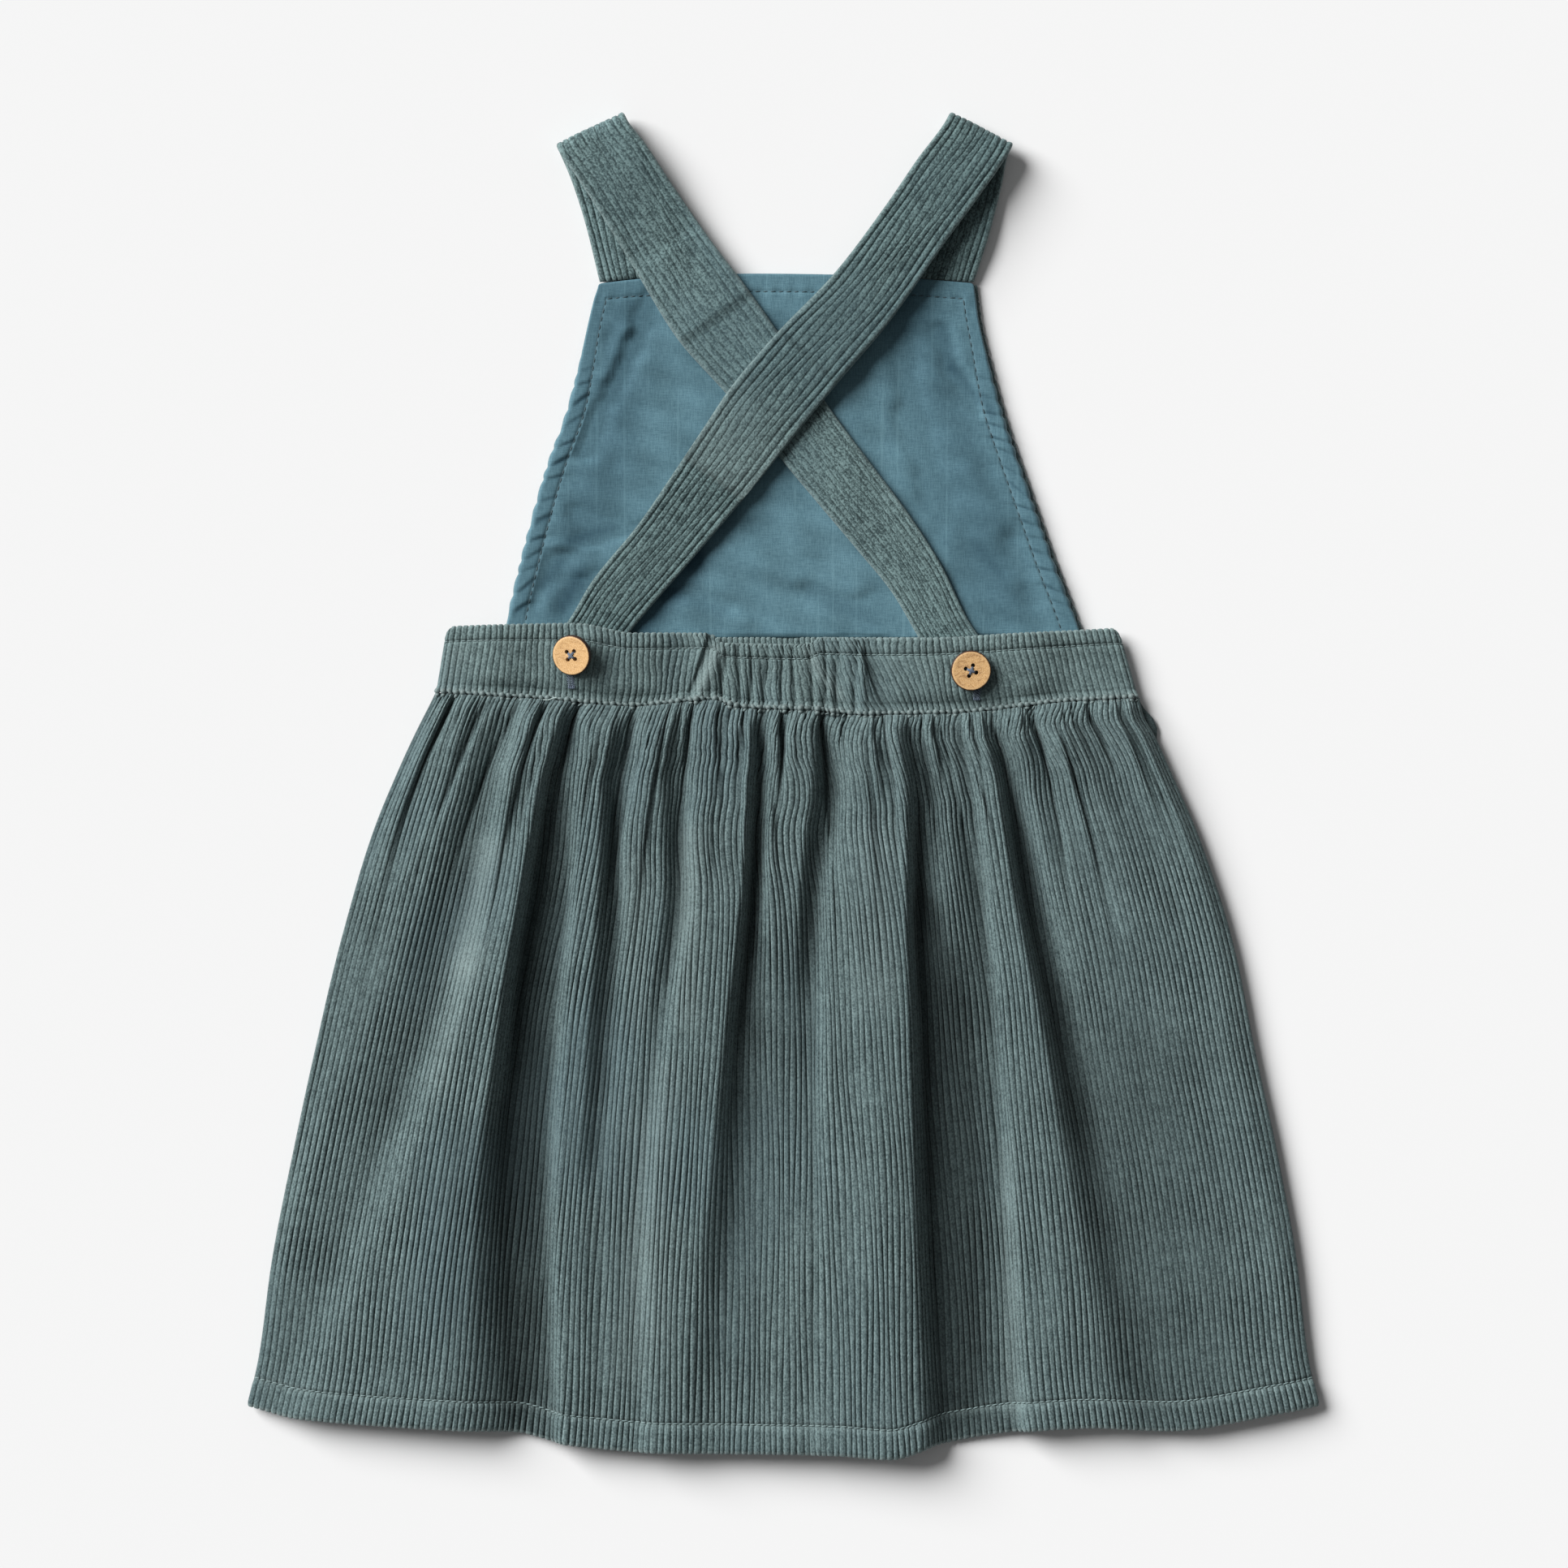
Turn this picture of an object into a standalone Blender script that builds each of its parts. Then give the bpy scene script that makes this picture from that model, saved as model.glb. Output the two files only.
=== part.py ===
"""A child's corduroy pinafore dress, laid flat on a surface with its back up.

Tables are in millimetres and the scene is in metres. +X runs to the right of the laid dress, +Y from the hem
to the shoulders and +Z up from the surface, with the origin in the middle of the outline, on the surface.
Each piece is a closed wall of cloth. Its ribs are grooves cut down from the nominal thickness of its outer side.
"""

import math

import bmesh
import bpy
import numpy as np
from mathutils import Matrix, Vector

MM = 0.001
PIECE_GAP = 0.3

# Cloth
CORDUROY = 1.6
CORDUROY_DOUBLE = 3.0
LINING = 1.0
RIB_DEPTH = 0.5
SKIRT_WALL = 2.2

# Skirt: the cut width of the back panel is SKIRT_RIBS times the rib pitch of 2.5 mm
SKIRT_RIBS = 182
SKIRT_RIBS_PER_INNER_COLUMN = 2
SKIRT_ROWS = (0.0, 0.02, 0.07, 0.16, 0.30, 0.50, 0.74, 1.0)
GATHERS = 38
GATHER_HEIGHT = 2.6
FRONT_PANEL_INSET = 1.2
FRONT_PANEL_PEEK = 2.6
SIDE_EASE = 6.0

# Waistband
BAND_RIBS = 120
BAND_RIBS_PER_INNER_COLUMN = 2
BAND_ROWS = (0.0, 0.14, 0.8, 1.0)
ELASTIC = (-29.0, 35.0)
ELASTIC_WAVE = 6.4
ELASTIC_BUNCH = 1.8
BAND_EDGE_PINCH = 0.7
STRAP_LIFT = 3.4

# Straps
STRAP_RIBS = 11
STRAP_FOLD_RADIUS = 4.0
STRAP_FOLD_STEPS = 5
STRAP_ROW_STEP = 10.0

# Bib
CASING = 7.0
PUCKER_PITCH = 8.4
PUCKER_HEIGHT = 1.3
PUCKERS_START = 61.5
BIB_EDGE = 1.4
BIB_SCALLOP = 0.5

# Buttons
BUTTON_DIAMETER = 15.0
BUTTON_THICKNESS = 2.6
BUTTON_HOLE = 1.7
BUTTON_HOLE_SPACING = 2.7
BUTTON_DISH = 0.8


def table(columns, *rows):
    """Rows of numbers as one array for each named column."""
    values = np.array(rows, float)
    return dict(zip(columns.split(), values.T))


# Skirt's side edges, by share of its length from the waist seam
SKIRT_SIDES = table(
    "share left right",
    (0.00, -133.6, 137.0),
    (0.10, -147.0, 148.4),
    (0.20, -158.2, 160.3),
    (0.35, -170.2, 173.3),
    (0.50, -180.0, 181.6),
    (0.65, -188.8, 190.4),
    (0.80, -196.8, 197.7),
    (0.93, -201.6, 201.8),
    (1.00, -205.9, 206.1),
)
WAIST_SEAM = table(
    "x y",
    (-134.0, 35.4),
    (-94.0, 33.0),
    (-57.0, 30.2),
    (-27.0, 32.6),
    (-17.0, 29.6),
    (12.0, 28.5),
    (30.0, 26.8),
    (66.0, 27.5),
    (109.0, 31.8),
    (137.0, 33.4),
)
HEM = table(
    "x y",
    (-206.0, -238.6),
    (-186.0, -243.2),
    (-130.0, -247.2),
    (-104.0, -248.6),
    (-84.0, -253.0),
    (-46.0, -256.2),
    (20.0, -257.0),
    (41.0, -258.4),
    (60.0, -253.4),
    (94.0, -248.0),
    (120.0, -246.6),
    (147.0, -248.0),
    (190.0, -241.6),
    (206.0, -238.6),
)

# Lengthwise folds of the back skirt, left to right, ridge and valley in turn: x and height of the outer side
# at each level
FOLD_LEVELS = np.array([0.0, 0.10, 0.30, 0.52, 0.75, 1.0])
FOLDS = (
    ("ridge_a", (-121, -130, -148, -167, -189, -195), (7.0, 9.0, 8.0, 8.0, 7.0, 7.0)),
    ("valley_a", (-109, -115, -135, -151, -177, -185), (6.0, 5.6, 5.6, 6.2, 6.6, 6.6)),
    ("ridge_b", (-95, -97, -107, -116, -119, -118), (7.5, 11.0, 13.5, 13.0, 12.5, 12.0)),
    ("valley_c", (-86, -89, -97, -105, -107, -106), (6.0, 5.0, 4.6, 4.6, 4.6, 4.8)),
    ("ridge_d", (-76, -77, -80, -87, -92, -93), (7.5, 11.0, 12.0, 12.0, 11.5, 11.0)),
    ("valley_e", (-69, -68, -69, -72, -74, -75), (6.5, 7.0, 7.0, 8.5, 9.5, 9.5)),
    ("ridge_f", (-56, -56, -58, -61, -64, -66), (8.0, 10.5, 11.0, 10.5, 10.2, 10.0)),
    ("valley_g", (-45, -42, -44, -52, -58, -60), (6.5, 6.5, 7.5, 8.5, 9.6, 9.6)),
    ("ridge_h", (-30, -28, -33, -44, -53, -55), (8.0, 11.0, 12.0, 12.0, 12.5, 12.0)),
    ("valley_i", (-13, -13, -15, -19, -32, -36), (6.5, 6.0, 7.0, 8.5, 10.5, 11.0)),
    ("ridge_j", (0, 0, -2, -8, -19, -24), (8.0, 11.0, 11.5, 11.5, 11.5, 11.5)),
    ("valley_k", (15, 14, 10, 3, -11, -14), (6.5, 6.5, 7.0, 9.0, 10.5, 11.0)),
    ("ridge_l", (42, 44, 46, 49, 51, 58), (8.0, 12.0, 14.0, 14.0, 14.0, 13.0)),
    ("valley_m", (50, 52, 54, 60, 69, 73), (6.0, 4.8, 4.6, 4.6, 4.6, 4.8)),
    ("ridge_n", (63, 63, 63, 67, 77, 80), (7.5, 8.5, 7.5, 7.0, 6.6, 7.0)),
    ("valley_o", (71, 72, 72, 75, 84, 87), (6.5, 6.5, 6.8, 6.4, 6.4, 6.8)),
    ("ridge_p", (82, 85, 92, 102, 114, 120), (8.0, 11.0, 12.0, 12.0, 12.0, 11.0)),
    ("valley_q", (87, 90, 98, 112, 129, 139), (6.0, 5.0, 5.2, 6.0, 6.5, 7.0)),
    ("ridge_r", (102, 106, 119, 133, 152, 164), (8.0, 10.0, 10.0, 10.0, 9.5, 9.0)),
    ("valley_s", (116, 129, 155, 167, 177, 183), (6.5, 6.5, 7.5, 8.5, 8.5, 8.0)),
    ("ridge_t", (124, 138, 163, 177, 190, 197), (7.5, 9.0, 9.0, 8.5, 8.0, 7.5)),
)
SKIRT_EDGE_HEIGHT = 4.4

BAND_TOP = table(
    "x y",
    (-129.4, 60.0),
    (-105.0, 60.9),
    (-78.0, 61.2),
    (-58.0, 57.6),
    (-31.0, 57.6),
    (-27.0, 56.8),
    (-23.0, 53.8),
    (8.0, 53.2),
    (15.0, 55.8),
    (51.0, 55.6),
    (89.0, 57.4),
    (129.0, 59.6),
)
BAND_ENDS = {"bottom_left": -133.4, "top_left": -129.4, "bottom_right": 136.4, "top_right": 129.0}
FRONT_BAND_TOP = 56.0

# Where the straps pass under the back waistband and lift it
STRAP_ZONES = table(
    "start full end gone",
    (-127.0, -106.0, -54.0, -33.0),
    (26.0, 47.0, 93.0, 114.0),
)

# Slanted creases in the waistband at the ends of its elastic
BAND_CREASES = table(
    "bottom_x top_x width height",
    (-34.0, -28.0, 4.0, 1.6),
    (40.0, 31.0, 4.5, 1.5),
    (31.0, 19.0, 4.0, 1.2),
)

# Bib's side edges
BIB_SIDES = table(
    "y left right",
    (56.3, -107.4, 116.4),
    (67.5, -105.3, 112.4),
    (86.2, -100.9, 105.2),
    (105.0, -96.0, 98.6),
    (123.8, -90.4, 92.0),
    (142.5, -83.6, 85.8),
    (161.2, -78.6, 80.7),
    (180.0, -74.4, 76.4),
    (192.4, -71.3, 74.9),
)
BIB_TOP = table("x y", (-71.3, 192.4), (-50.0, 194.6), (-10.0, 196.2), (30.0, 195.6), (75.0, 192.4))

# Straps by their two edges: from the bib's top up to the shoulder fold, then from the fold down across the back
STRAP_FRONT = {
    "left": table(
        "left_x left_y right_x right_y height",
        (-70.6, 193.1, -44.8, 195.6, 1.5),
        (-76.2, 215.9, -51.6, 223.8, 1.5),
        (-81.6, 232.5, -56.3, 243.1, 1.5),
    ),
    "right": table(
        "left_x left_y right_x right_y height",
        (47.9, 194.9, 73.4, 193.1, 1.5),
        (54.4, 219.1, 79.4, 211.9, 1.5),
        (59.4, 240.6, 84.1, 230.6, 1.5),
    ),
}
SHOULDER_FOLD = {
    "left": {"left": (-87.5, 245.8), "right": (-61.6, 258.4)},
    "right": {"left": (64.4, 258.4), "right": (88.6, 246.2)},
}
STRAP_BACK = {
    "left": table(
        "left_x left_y right_x right_y height",
        (-79.4, 233.1, -53.6, 246.6, 9.1),
        (-67.5, 214.7, -41.6, 228.6, 7.8),
        (-54.4, 193.1, -29.1, 210.6, 6.2),
        (-40.6, 170.9, -13.8, 190.3, 5.2),
        (-22.5, 150.6, 2.2, 167.5, 5.0),
        (-1.3, 125.3, 20.3, 140.9, 5.0),
        (12.5, 108.8, 33.4, 123.4, 5.0),
        (29.4, 88.8, 48.8, 102.8, 5.0),
        (41.6, 73.8, 60.9, 83.8, 5.0),
        (51.6, 56.9, 71.2, 62.8, 4.8),
        (61.6, 40.0, 81.6, 47.2, 4.8),
        (64.0, 34.6, 84.0, 41.2, 4.8),
    ),
    "right": table(
        "left_x left_y right_x right_y height",
        (51.6, 239.7, 74.7, 224.7, 9.8),
        (39.4, 221.9, 61.6, 206.9, 9.6),
        (19.7, 195.9, 41.2, 177.8, 9.0),
        (-3.4, 171.9, 18.8, 151.2, 8.5),
        (-20.3, 151.9, 2.2, 130.9, 8.4),
        (-30.3, 136.9, -7.2, 119.1, 8.2),
        (-40.6, 121.6, -18.4, 105.6, 6.6),
        (-55.6, 99.7, -35.0, 86.2, 5.2),
        (-73.4, 77.8, -54.4, 63.8, 4.9),
        (-83.1, 61.9, -65.6, 50.0, 4.8),
        (-89.4, 55.0, -71.9, 43.8, 4.8),
        (-96.9, 47.2, -79.4, 35.9, 4.8),
    ),
}

# Buttons: a little turned and tilted by the strap that pulls them
BUTTONS = {
    "left": {"x": -80.8, "y": 49.9, "height": 12.7, "tilt": 10.0, "turn": 4.0},
    "right": {"x": 72.2, "y": 43.7, "height": 11.4, "tilt": 0.0, "turn": 25.0},
}

COLOURS = {
    "corduroy": (0.105, 0.150, 0.156, 1.0),
    "corduroy_strap": (0.110, 0.162, 0.165, 1.0),
    "cotton": (0.100, 0.202, 0.254, 1.0),
    "coconut": (0.597, 0.371, 0.168, 1.0),
}
ROUGHNESS = {"corduroy": 0.9, "corduroy_strap": 0.9, "cotton": 0.8, "coconut": 0.5}


def smooth_step(value):
    """0 below 0, 1 above 1 and an eased rise between."""
    u = np.clip(value, 0.0, 1.0)
    return u * u * (3.0 - 2.0 * u)


def curve(at, xs, ys):
    """Smooth curve through the points (xs, ys) that never overshoots them: cubic pieces, level at each turn."""
    xs = np.asarray(xs, float)
    ys = np.asarray(ys, float)
    steps = np.diff(ys) / np.diff(xs)
    before, after = steps[:-1], steps[1:]
    same_way = before * after > 0.0
    mean = 2.0 * before * after / np.where(same_way, before + after, 1.0)
    slopes = np.concatenate([[steps[0]], np.where(same_way, mean, 0.0), [steps[-1]]])
    i = np.clip(np.searchsorted(xs, at) - 1, 0, len(xs) - 2)
    step = xs[i + 1] - xs[i]
    u = np.clip((at - xs[i]) / step, 0.0, 1.0)
    rise = u * u * (3.0 - 2.0 * u)
    start_slope = u * (1.0 - u) ** 2 * step * slopes[i]
    end_slope = u * u * (u - 1.0) * step * slopes[i + 1]
    return ys[i] * (1.0 - rise) + ys[i + 1] * rise + start_slope + end_slope


def equal_arc(x, z, count):
    """x and z at equal steps of the arc length along the section (x, z)."""
    arc = np.concatenate([[0.0], np.cumsum(np.hypot(np.diff(x), np.diff(z)))])
    at = np.linspace(0.0, arc[-1], count)
    return np.interp(at, arc, x), np.interp(at, arc, z)


def rib_grooves(columns):
    """Depth of the grooves between ribs, with two columns of points to a rib."""
    return RIB_DEPTH * (np.arange(columns) % 2 == 0)


def make_material(name, kind):
    """Plain Principled material for one piece."""
    material = bpy.data.materials.new(name)
    material.use_nodes = True
    shader = material.node_tree.nodes["Principled BSDF"]
    shader.inputs["Base Color"].default_value = COLOURS[kind]
    shader.inputs["Roughness"].default_value = ROUGHNESS[kind]
    shader.inputs["Metallic"].default_value = 0.0
    return material


def add_piece(name, points, faces, kind):
    """Object of one closed body from points in millimetres, with its faces turned outwards."""
    mesh = bpy.data.meshes.new(name)
    mesh.from_pydata((np.asarray(points) * MM).tolist(), [], faces)
    shell = bmesh.new()
    shell.from_mesh(mesh)
    bmesh.ops.recalc_face_normals(shell, faces=shell.faces)
    shell.to_mesh(mesh)
    shell.free()
    mesh.materials.append(make_material(name, kind))
    piece = bpy.data.objects.new(name, mesh)
    bpy.context.collection.objects.link(piece)
    return piece


def grid_faces(rows, columns, first=0):
    """Quads of a grid of points numbered row by row."""
    return [
        (first + r * columns + c, first + r * columns + c + 1,
         first + (r + 1) * columns + c + 1, first + (r + 1) * columns + c)
        for r in range(rows - 1)
        for c in range(columns - 1)
    ]


def add_wall(name, outer, inner, kind):
    """Closed wall between an outer grid of points and a coarser inner one with the same number of rows."""
    rows, columns = outer.shape[:2]
    inner_columns = inner.shape[1]
    share = (columns - 1) // (inner_columns - 1)
    base = rows * columns
    faces = grid_faces(rows, columns)
    faces += [face[::-1] for face in grid_faces(rows, inner_columns, base)]
    for r in range(rows - 1):
        for c, inner_c in ((0, 0), (columns - 1, inner_columns - 1)):
            faces.append((r * columns + c, (r + 1) * columns + c,
                          base + (r + 1) * inner_columns + inner_c, base + r * inner_columns + inner_c))
    for r in (0, rows - 1):
        for c in range(inner_columns - 1):
            rim = [r * columns + k for k in range(c * share, (c + 1) * share + 1)]
            inside = base + r * inner_columns + c
            faces.append(tuple(rim + [inside + 1, inside]))
    points = np.vstack([outer.reshape(-1, 3), inner.reshape(-1, 3)])
    return add_piece(name, points, faces, kind)


def add_slab(name, outline, low, high, kind):
    """Flat piece of cloth: an outline of (x, y) points between two heights."""
    count = len(outline)
    points = [(x, y, low) for x, y in outline] + [(x, y, high) for x, y in outline]
    faces = [tuple(range(count)), tuple(range(count, 2 * count))]
    faces += [(i, (i + 1) % count, count + (i + 1) % count, count + i) for i in range(count)]
    return add_piece(name, points, faces, kind)


def add_relief(name, outer, low, kind):
    """Piece with a flat underside at one height and an outer grid of points as its upper side."""
    rows, columns = outer.shape[:2]
    border = list(range(columns))
    border += [r * columns + columns - 1 for r in range(1, rows)]
    border += [(rows - 1) * columns + c for c in range(columns - 2, -1, -1)]
    border += [r * columns for r in range(rows - 2, 0, -1)]
    points = outer.reshape(-1, 3)
    under = points[border].copy()
    under[:, 2] = low
    base = len(points)
    count = len(border)
    faces = grid_faces(rows, columns)
    faces.append(tuple(range(base, base + count)))
    faces += [(border[i], border[(i + 1) % count], base + (i + 1) % count, base + i) for i in range(count)]
    return add_piece(name, np.vstack([points, under]), faces, kind)


def gather_height(across, share):
    """Height of the small gathers under the waist seam: rounded bumps, uneven in place, size and length."""
    total = np.zeros_like(across)
    for k in range(GATHERS):
        centre = (k + 0.5 + 0.3 * math.sin(2.4 * k)) / GATHERS
        half_width = (0.55 + 0.1 * math.sin(4.1 * k)) / GATHERS
        height = GATHER_HEIGHT * (0.7 + 0.3 * math.sin(5.3 * k + 1.0))
        length = 0.13 + 0.07 * math.sin(3.7 * k + 2.0)
        bump = np.cos(np.clip((across - centre) / half_width, -1.0, 1.0) * math.pi / 2) ** 2
        total += height * bump * math.exp(-((share / length) ** 2))
    return total


def fold_height(x, share):
    """Height of the outer side over the large folds, at one level: a long rise into a ridge, a short fall."""
    left = curve(share, SKIRT_SIDES["share"], SKIRT_SIDES["left"])
    right = curve(share, SKIRT_SIDES["share"], SKIRT_SIDES["right"])
    fold_x = [float(curve(share, FOLD_LEVELS, xs)) for _, xs, _ in FOLDS]
    fold_z = [float(curve(share, FOLD_LEVELS, zs)) for _, _, zs in FOLDS]
    xs = np.array([float(left), *fold_x, float(right)])
    zs = np.array([SKIRT_EDGE_HEIGHT, *fold_z, SKIRT_EDGE_HEIGHT])
    i = np.clip(np.searchsorted(xs, x) - 1, 0, len(xs) - 2)
    u = (x - xs[i]) / (xs[i + 1] - xs[i])
    falls = zs[i + 1] < zs[i]
    eased = np.where(falls, smooth_step((u - 0.3) / 0.65), smooth_step(u))
    return zs[i] + (zs[i + 1] - zs[i]) * eased


def skirt_level(share, columns):
    """x, outer height and inner height across the back skirt at one level, at equal steps of arc length."""
    left = float(curve(share, SKIRT_SIDES["share"], SKIRT_SIDES["left"]))
    right = float(curve(share, SKIRT_SIDES["share"], SKIRT_SIDES["right"]))
    fine_x = np.linspace(left, right, 3001)
    folds = fold_height(fine_x, share)
    at_edge = smooth_step((fine_x - left) / SIDE_EASE) * smooth_step((right - fine_x) / SIDE_EASE)
    gathers = at_edge * gather_height((fine_x - left) / (right - left), share)
    x, outer = equal_arc(fine_x, folds + gathers, columns)
    return x, outer, fold_height(x, share) - SKIRT_WALL


def back_skirt():
    """Back skirt panel: a wall whose ribs fan out from the gathered waist seam over the folds to the hem."""
    columns = 2 * SKIRT_RIBS + 1
    levels = [skirt_level(share, columns) for share in SKIRT_ROWS]
    x = np.array([level[0] for level in levels])
    outer_z = np.array([level[1] for level in levels]) - rib_grooves(columns)
    inner_z = np.array([level[2] for level in levels])
    share = np.array(SKIRT_ROWS)[:, None]
    top = curve(x[0], WAIST_SEAM["x"], WAIST_SEAM["y"]) - PIECE_GAP
    bottom = curve(x[-1], HEM["x"], HEM["y"])
    y = top * (1.0 - share) + bottom * share
    step = 2 * SKIRT_RIBS_PER_INNER_COLUMN
    outer = np.stack([x, y, outer_z], axis=-1)
    inner = np.stack([x, y, inner_z], axis=-1)[:, ::step]
    return add_wall("skirt_back", outer, inner, "corduroy")


def front_seam():
    """Points of the seam between the front skirt panel and the front waistband, left to right."""
    x = np.linspace(BAND_ENDS["bottom_left"] + 1.0, BAND_ENDS["bottom_right"] - 1.0, 15)
    return x, curve(x, WAIST_SEAM["x"], WAIST_SEAM["y"])


def front_skirt():
    """Front skirt panel: flat on the surface, a little inside the back panel's outline."""
    shares = np.linspace(0.025, 1.0, 13)
    left = curve(shares, SKIRT_SIDES["share"], SKIRT_SIDES["left"]) + FRONT_PANEL_INSET
    right = curve(shares, SKIRT_SIDES["share"], SKIRT_SIDES["right"]) - FRONT_PANEL_INSET
    right += FRONT_PANEL_PEEK * np.exp(-(((shares - 0.06) / 0.05) ** 2))
    seam_x, seam_y = front_seam()
    side_y = seam_y[0] * (1.0 - shares) + (HEM["y"][0] + FRONT_PANEL_INSET) * shares
    hem_x = np.linspace(left[-1], right[-1], 26)[1:-1]
    hem_y = curve(hem_x, HEM["x"], HEM["y"]) + FRONT_PANEL_INSET
    outline = list(zip(left, side_y)) + list(zip(hem_x, hem_y)) + list(zip(right, side_y))[::-1]
    outline += list(zip(seam_x, seam_y - PIECE_GAP))[::-1]
    return add_slab("skirt_front", outline, 0.0, CORDUROY, "corduroy")


def strap_lift(x):
    """Height by which the straps underneath lift the back waistband."""
    lift = np.zeros_like(x)
    for start, full, end, gone in zip(*STRAP_ZONES.values()):
        lift += smooth_step((x - start) / (full - start)) * smooth_step((gone - x) / (gone - end))
    return STRAP_LIFT * lift


def elastic_bunch(x, row):
    """Height of the upright creases over the elastic and of the slanted ones at its ends."""
    start, end = ELASTIC
    inside = smooth_step((x - start) / ELASTIC_WAVE) * smooth_step((end - x) / ELASTIC_WAVE)
    phase = 2.0 * math.pi * (x - start) / ELASTIC_WAVE
    bunch = inside * ELASTIC_BUNCH * (0.5 + 0.5 * np.sin(phase + 0.9 * np.sin(0.37 * phase) + 0.5 * row))
    for bottom_x, top_x, width, height in zip(*BAND_CREASES.values()):
        centre = bottom_x + (top_x - bottom_x) * row
        bunch = np.maximum(bunch, height * np.exp(-(((x - centre) / width) ** 2)))
    return bunch


def back_waistband():
    """Back waistband: two layers, lifted over the straps and bunched on its elastic in the middle."""
    columns = 2 * BAND_RIBS + 1
    outer = []
    inner = []
    for row in BAND_ROWS:
        left = BAND_ENDS["bottom_left"] + (BAND_ENDS["top_left"] - BAND_ENDS["bottom_left"]) * row
        right = BAND_ENDS["bottom_right"] + (BAND_ENDS["top_right"] - BAND_ENDS["bottom_right"]) * row
        fine_x = np.linspace(left, right, 2401)
        x, bunch = equal_arc(fine_x, elastic_bunch(fine_x, row), columns)
        bottom = curve(x, WAIST_SEAM["x"], WAIST_SEAM["y"])
        top = curve(x, BAND_TOP["x"], BAND_TOP["y"])
        y = bottom + (top - bottom) * row
        under = CORDUROY_DOUBLE + PIECE_GAP + strap_lift(x)
        thick = CORDUROY_DOUBLE - BAND_EDGE_PINCH * (row in (BAND_ROWS[0], BAND_ROWS[-1]))
        over = under + thick + bunch * (1.0 - 0.4 * row) - rib_grooves(columns)
        outer.append(np.stack([x, y, over], axis=-1))
        inner.append(np.stack([x, y, under], axis=-1)[:: 2 * BAND_RIBS_PER_INNER_COLUMN])
    return add_wall("waistband_back", np.array(outer), np.array(inner), "corduroy")


def front_waistband():
    """Front waistband: flat on the surface under the back one, with its upper edge showing at the middle."""
    top_right = (BAND_ENDS["top_right"] - 1.0, FRONT_BAND_TOP)
    top_left = (BAND_ENDS["top_left"] + 1.0, FRONT_BAND_TOP)
    outline = list(zip(*front_seam())) + [top_right, top_left]
    return add_slab("waistband_front", outline, 0.0, CORDUROY_DOUBLE, "corduroy")


def bib_front():
    """Face of the bib: flat on the surface, its right-hand edge scalloped by the casing's gathers."""
    y = np.arange(FRONT_BAND_TOP + PIECE_GAP, BIB_TOP["y"][0], PUCKER_PITCH / 4)
    left = curve(y, BIB_SIDES["y"], BIB_SIDES["left"]) + BIB_EDGE
    scallop = BIB_SCALLOP * (np.cos(2.0 * math.pi * y / PUCKER_PITCH) - 1.0)
    right = curve(y, BIB_SIDES["y"], BIB_SIDES["right"]) + scallop
    top_x = np.linspace(BIB_TOP["x"][0] + BIB_EDGE, BIB_TOP["x"][-1] - BIB_EDGE, 9)
    top_y = curve(top_x, BIB_TOP["x"], BIB_TOP["y"]) - BIB_SCALLOP
    left_side = list(zip(left[::2], y[::2]))[::-1]
    outline = left_side + list(zip(right, y)) + list(zip(top_x, top_y))[::-1]
    return add_slab("bib_front", outline, 0.0, CORDUROY, "corduroy")


def bib_lining():
    """Inside of the bib: cotton, drawn up into slanting puckers in the casing along each side."""
    bottom = FRONT_BAND_TOP + PIECE_GAP
    rows = int(round((BIB_TOP["y"][0] - bottom) / (PUCKER_PITCH / 2))) + 1
    side_y = np.linspace(bottom, BIB_TOP["y"][0], rows)
    left = curve(side_y, BIB_SIDES["y"], BIB_SIDES["left"])
    right = curve(side_y, BIB_SIDES["y"], BIB_SIDES["right"]) - BIB_EDGE
    casing = np.array([0.0, 0.3, 0.7, 1.0]) * CASING
    outer = []
    for r in range(rows):
        width = right[r] - left[r]
        middle = np.linspace(CASING, width - CASING, 7)[1:-1]
        inwards = np.concatenate([casing, middle, width - casing[::-1]])
        x = left[r] + inwards
        from_edge = np.minimum(inwards, width - inwards)
        across = np.minimum(from_edge / CASING, 1.0)
        in_casing = 4.0 * across * (1.0 - across)
        phase = math.pi * r + 0.8 * across
        clear_of_band = float(smooth_step((side_y[r] - PUCKERS_START) / PUCKER_PITCH))
        pucker = clear_of_band * PUCKER_HEIGHT * in_casing * (0.5 + 0.5 * np.cos(phase))
        share = (side_y[r] - bottom) / (BIB_TOP["y"][0] - bottom)
        top = curve(x, BIB_TOP["x"], BIB_TOP["y"]) - BIB_TOP["y"][0]
        y = side_y[r] + share**4 * top
        z = CORDUROY + PIECE_GAP + LINING + pucker
        outer.append(np.stack([x, y, z], axis=-1))
    return add_relief("bib_lining", np.array(outer), CORDUROY + PIECE_GAP, "cotton")


def fold_sections(side):
    """Sections round the shoulder fold: half a turn about the line between the fold's two ends."""
    left = np.array(SHOULDER_FOLD[side]["left"])
    right = np.array(SHOULDER_FOLD[side]["right"])
    along = (right - left) / np.linalg.norm(right - left)
    outwards = np.array([-along[1], along[0]])
    start = STRAP_FOLD_RADIUS + CORDUROY_DOUBLE / 2
    sections = []
    for angle in np.linspace(-math.pi / 2, math.pi / 2, STRAP_FOLD_STEPS + 1):
        reach = outwards * (STRAP_FOLD_RADIUS * math.cos(angle) - start)
        height = start + STRAP_FOLD_RADIUS * math.sin(angle)
        sections.append((*(left + reach), *(right + reach), height))
    return sections


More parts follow.
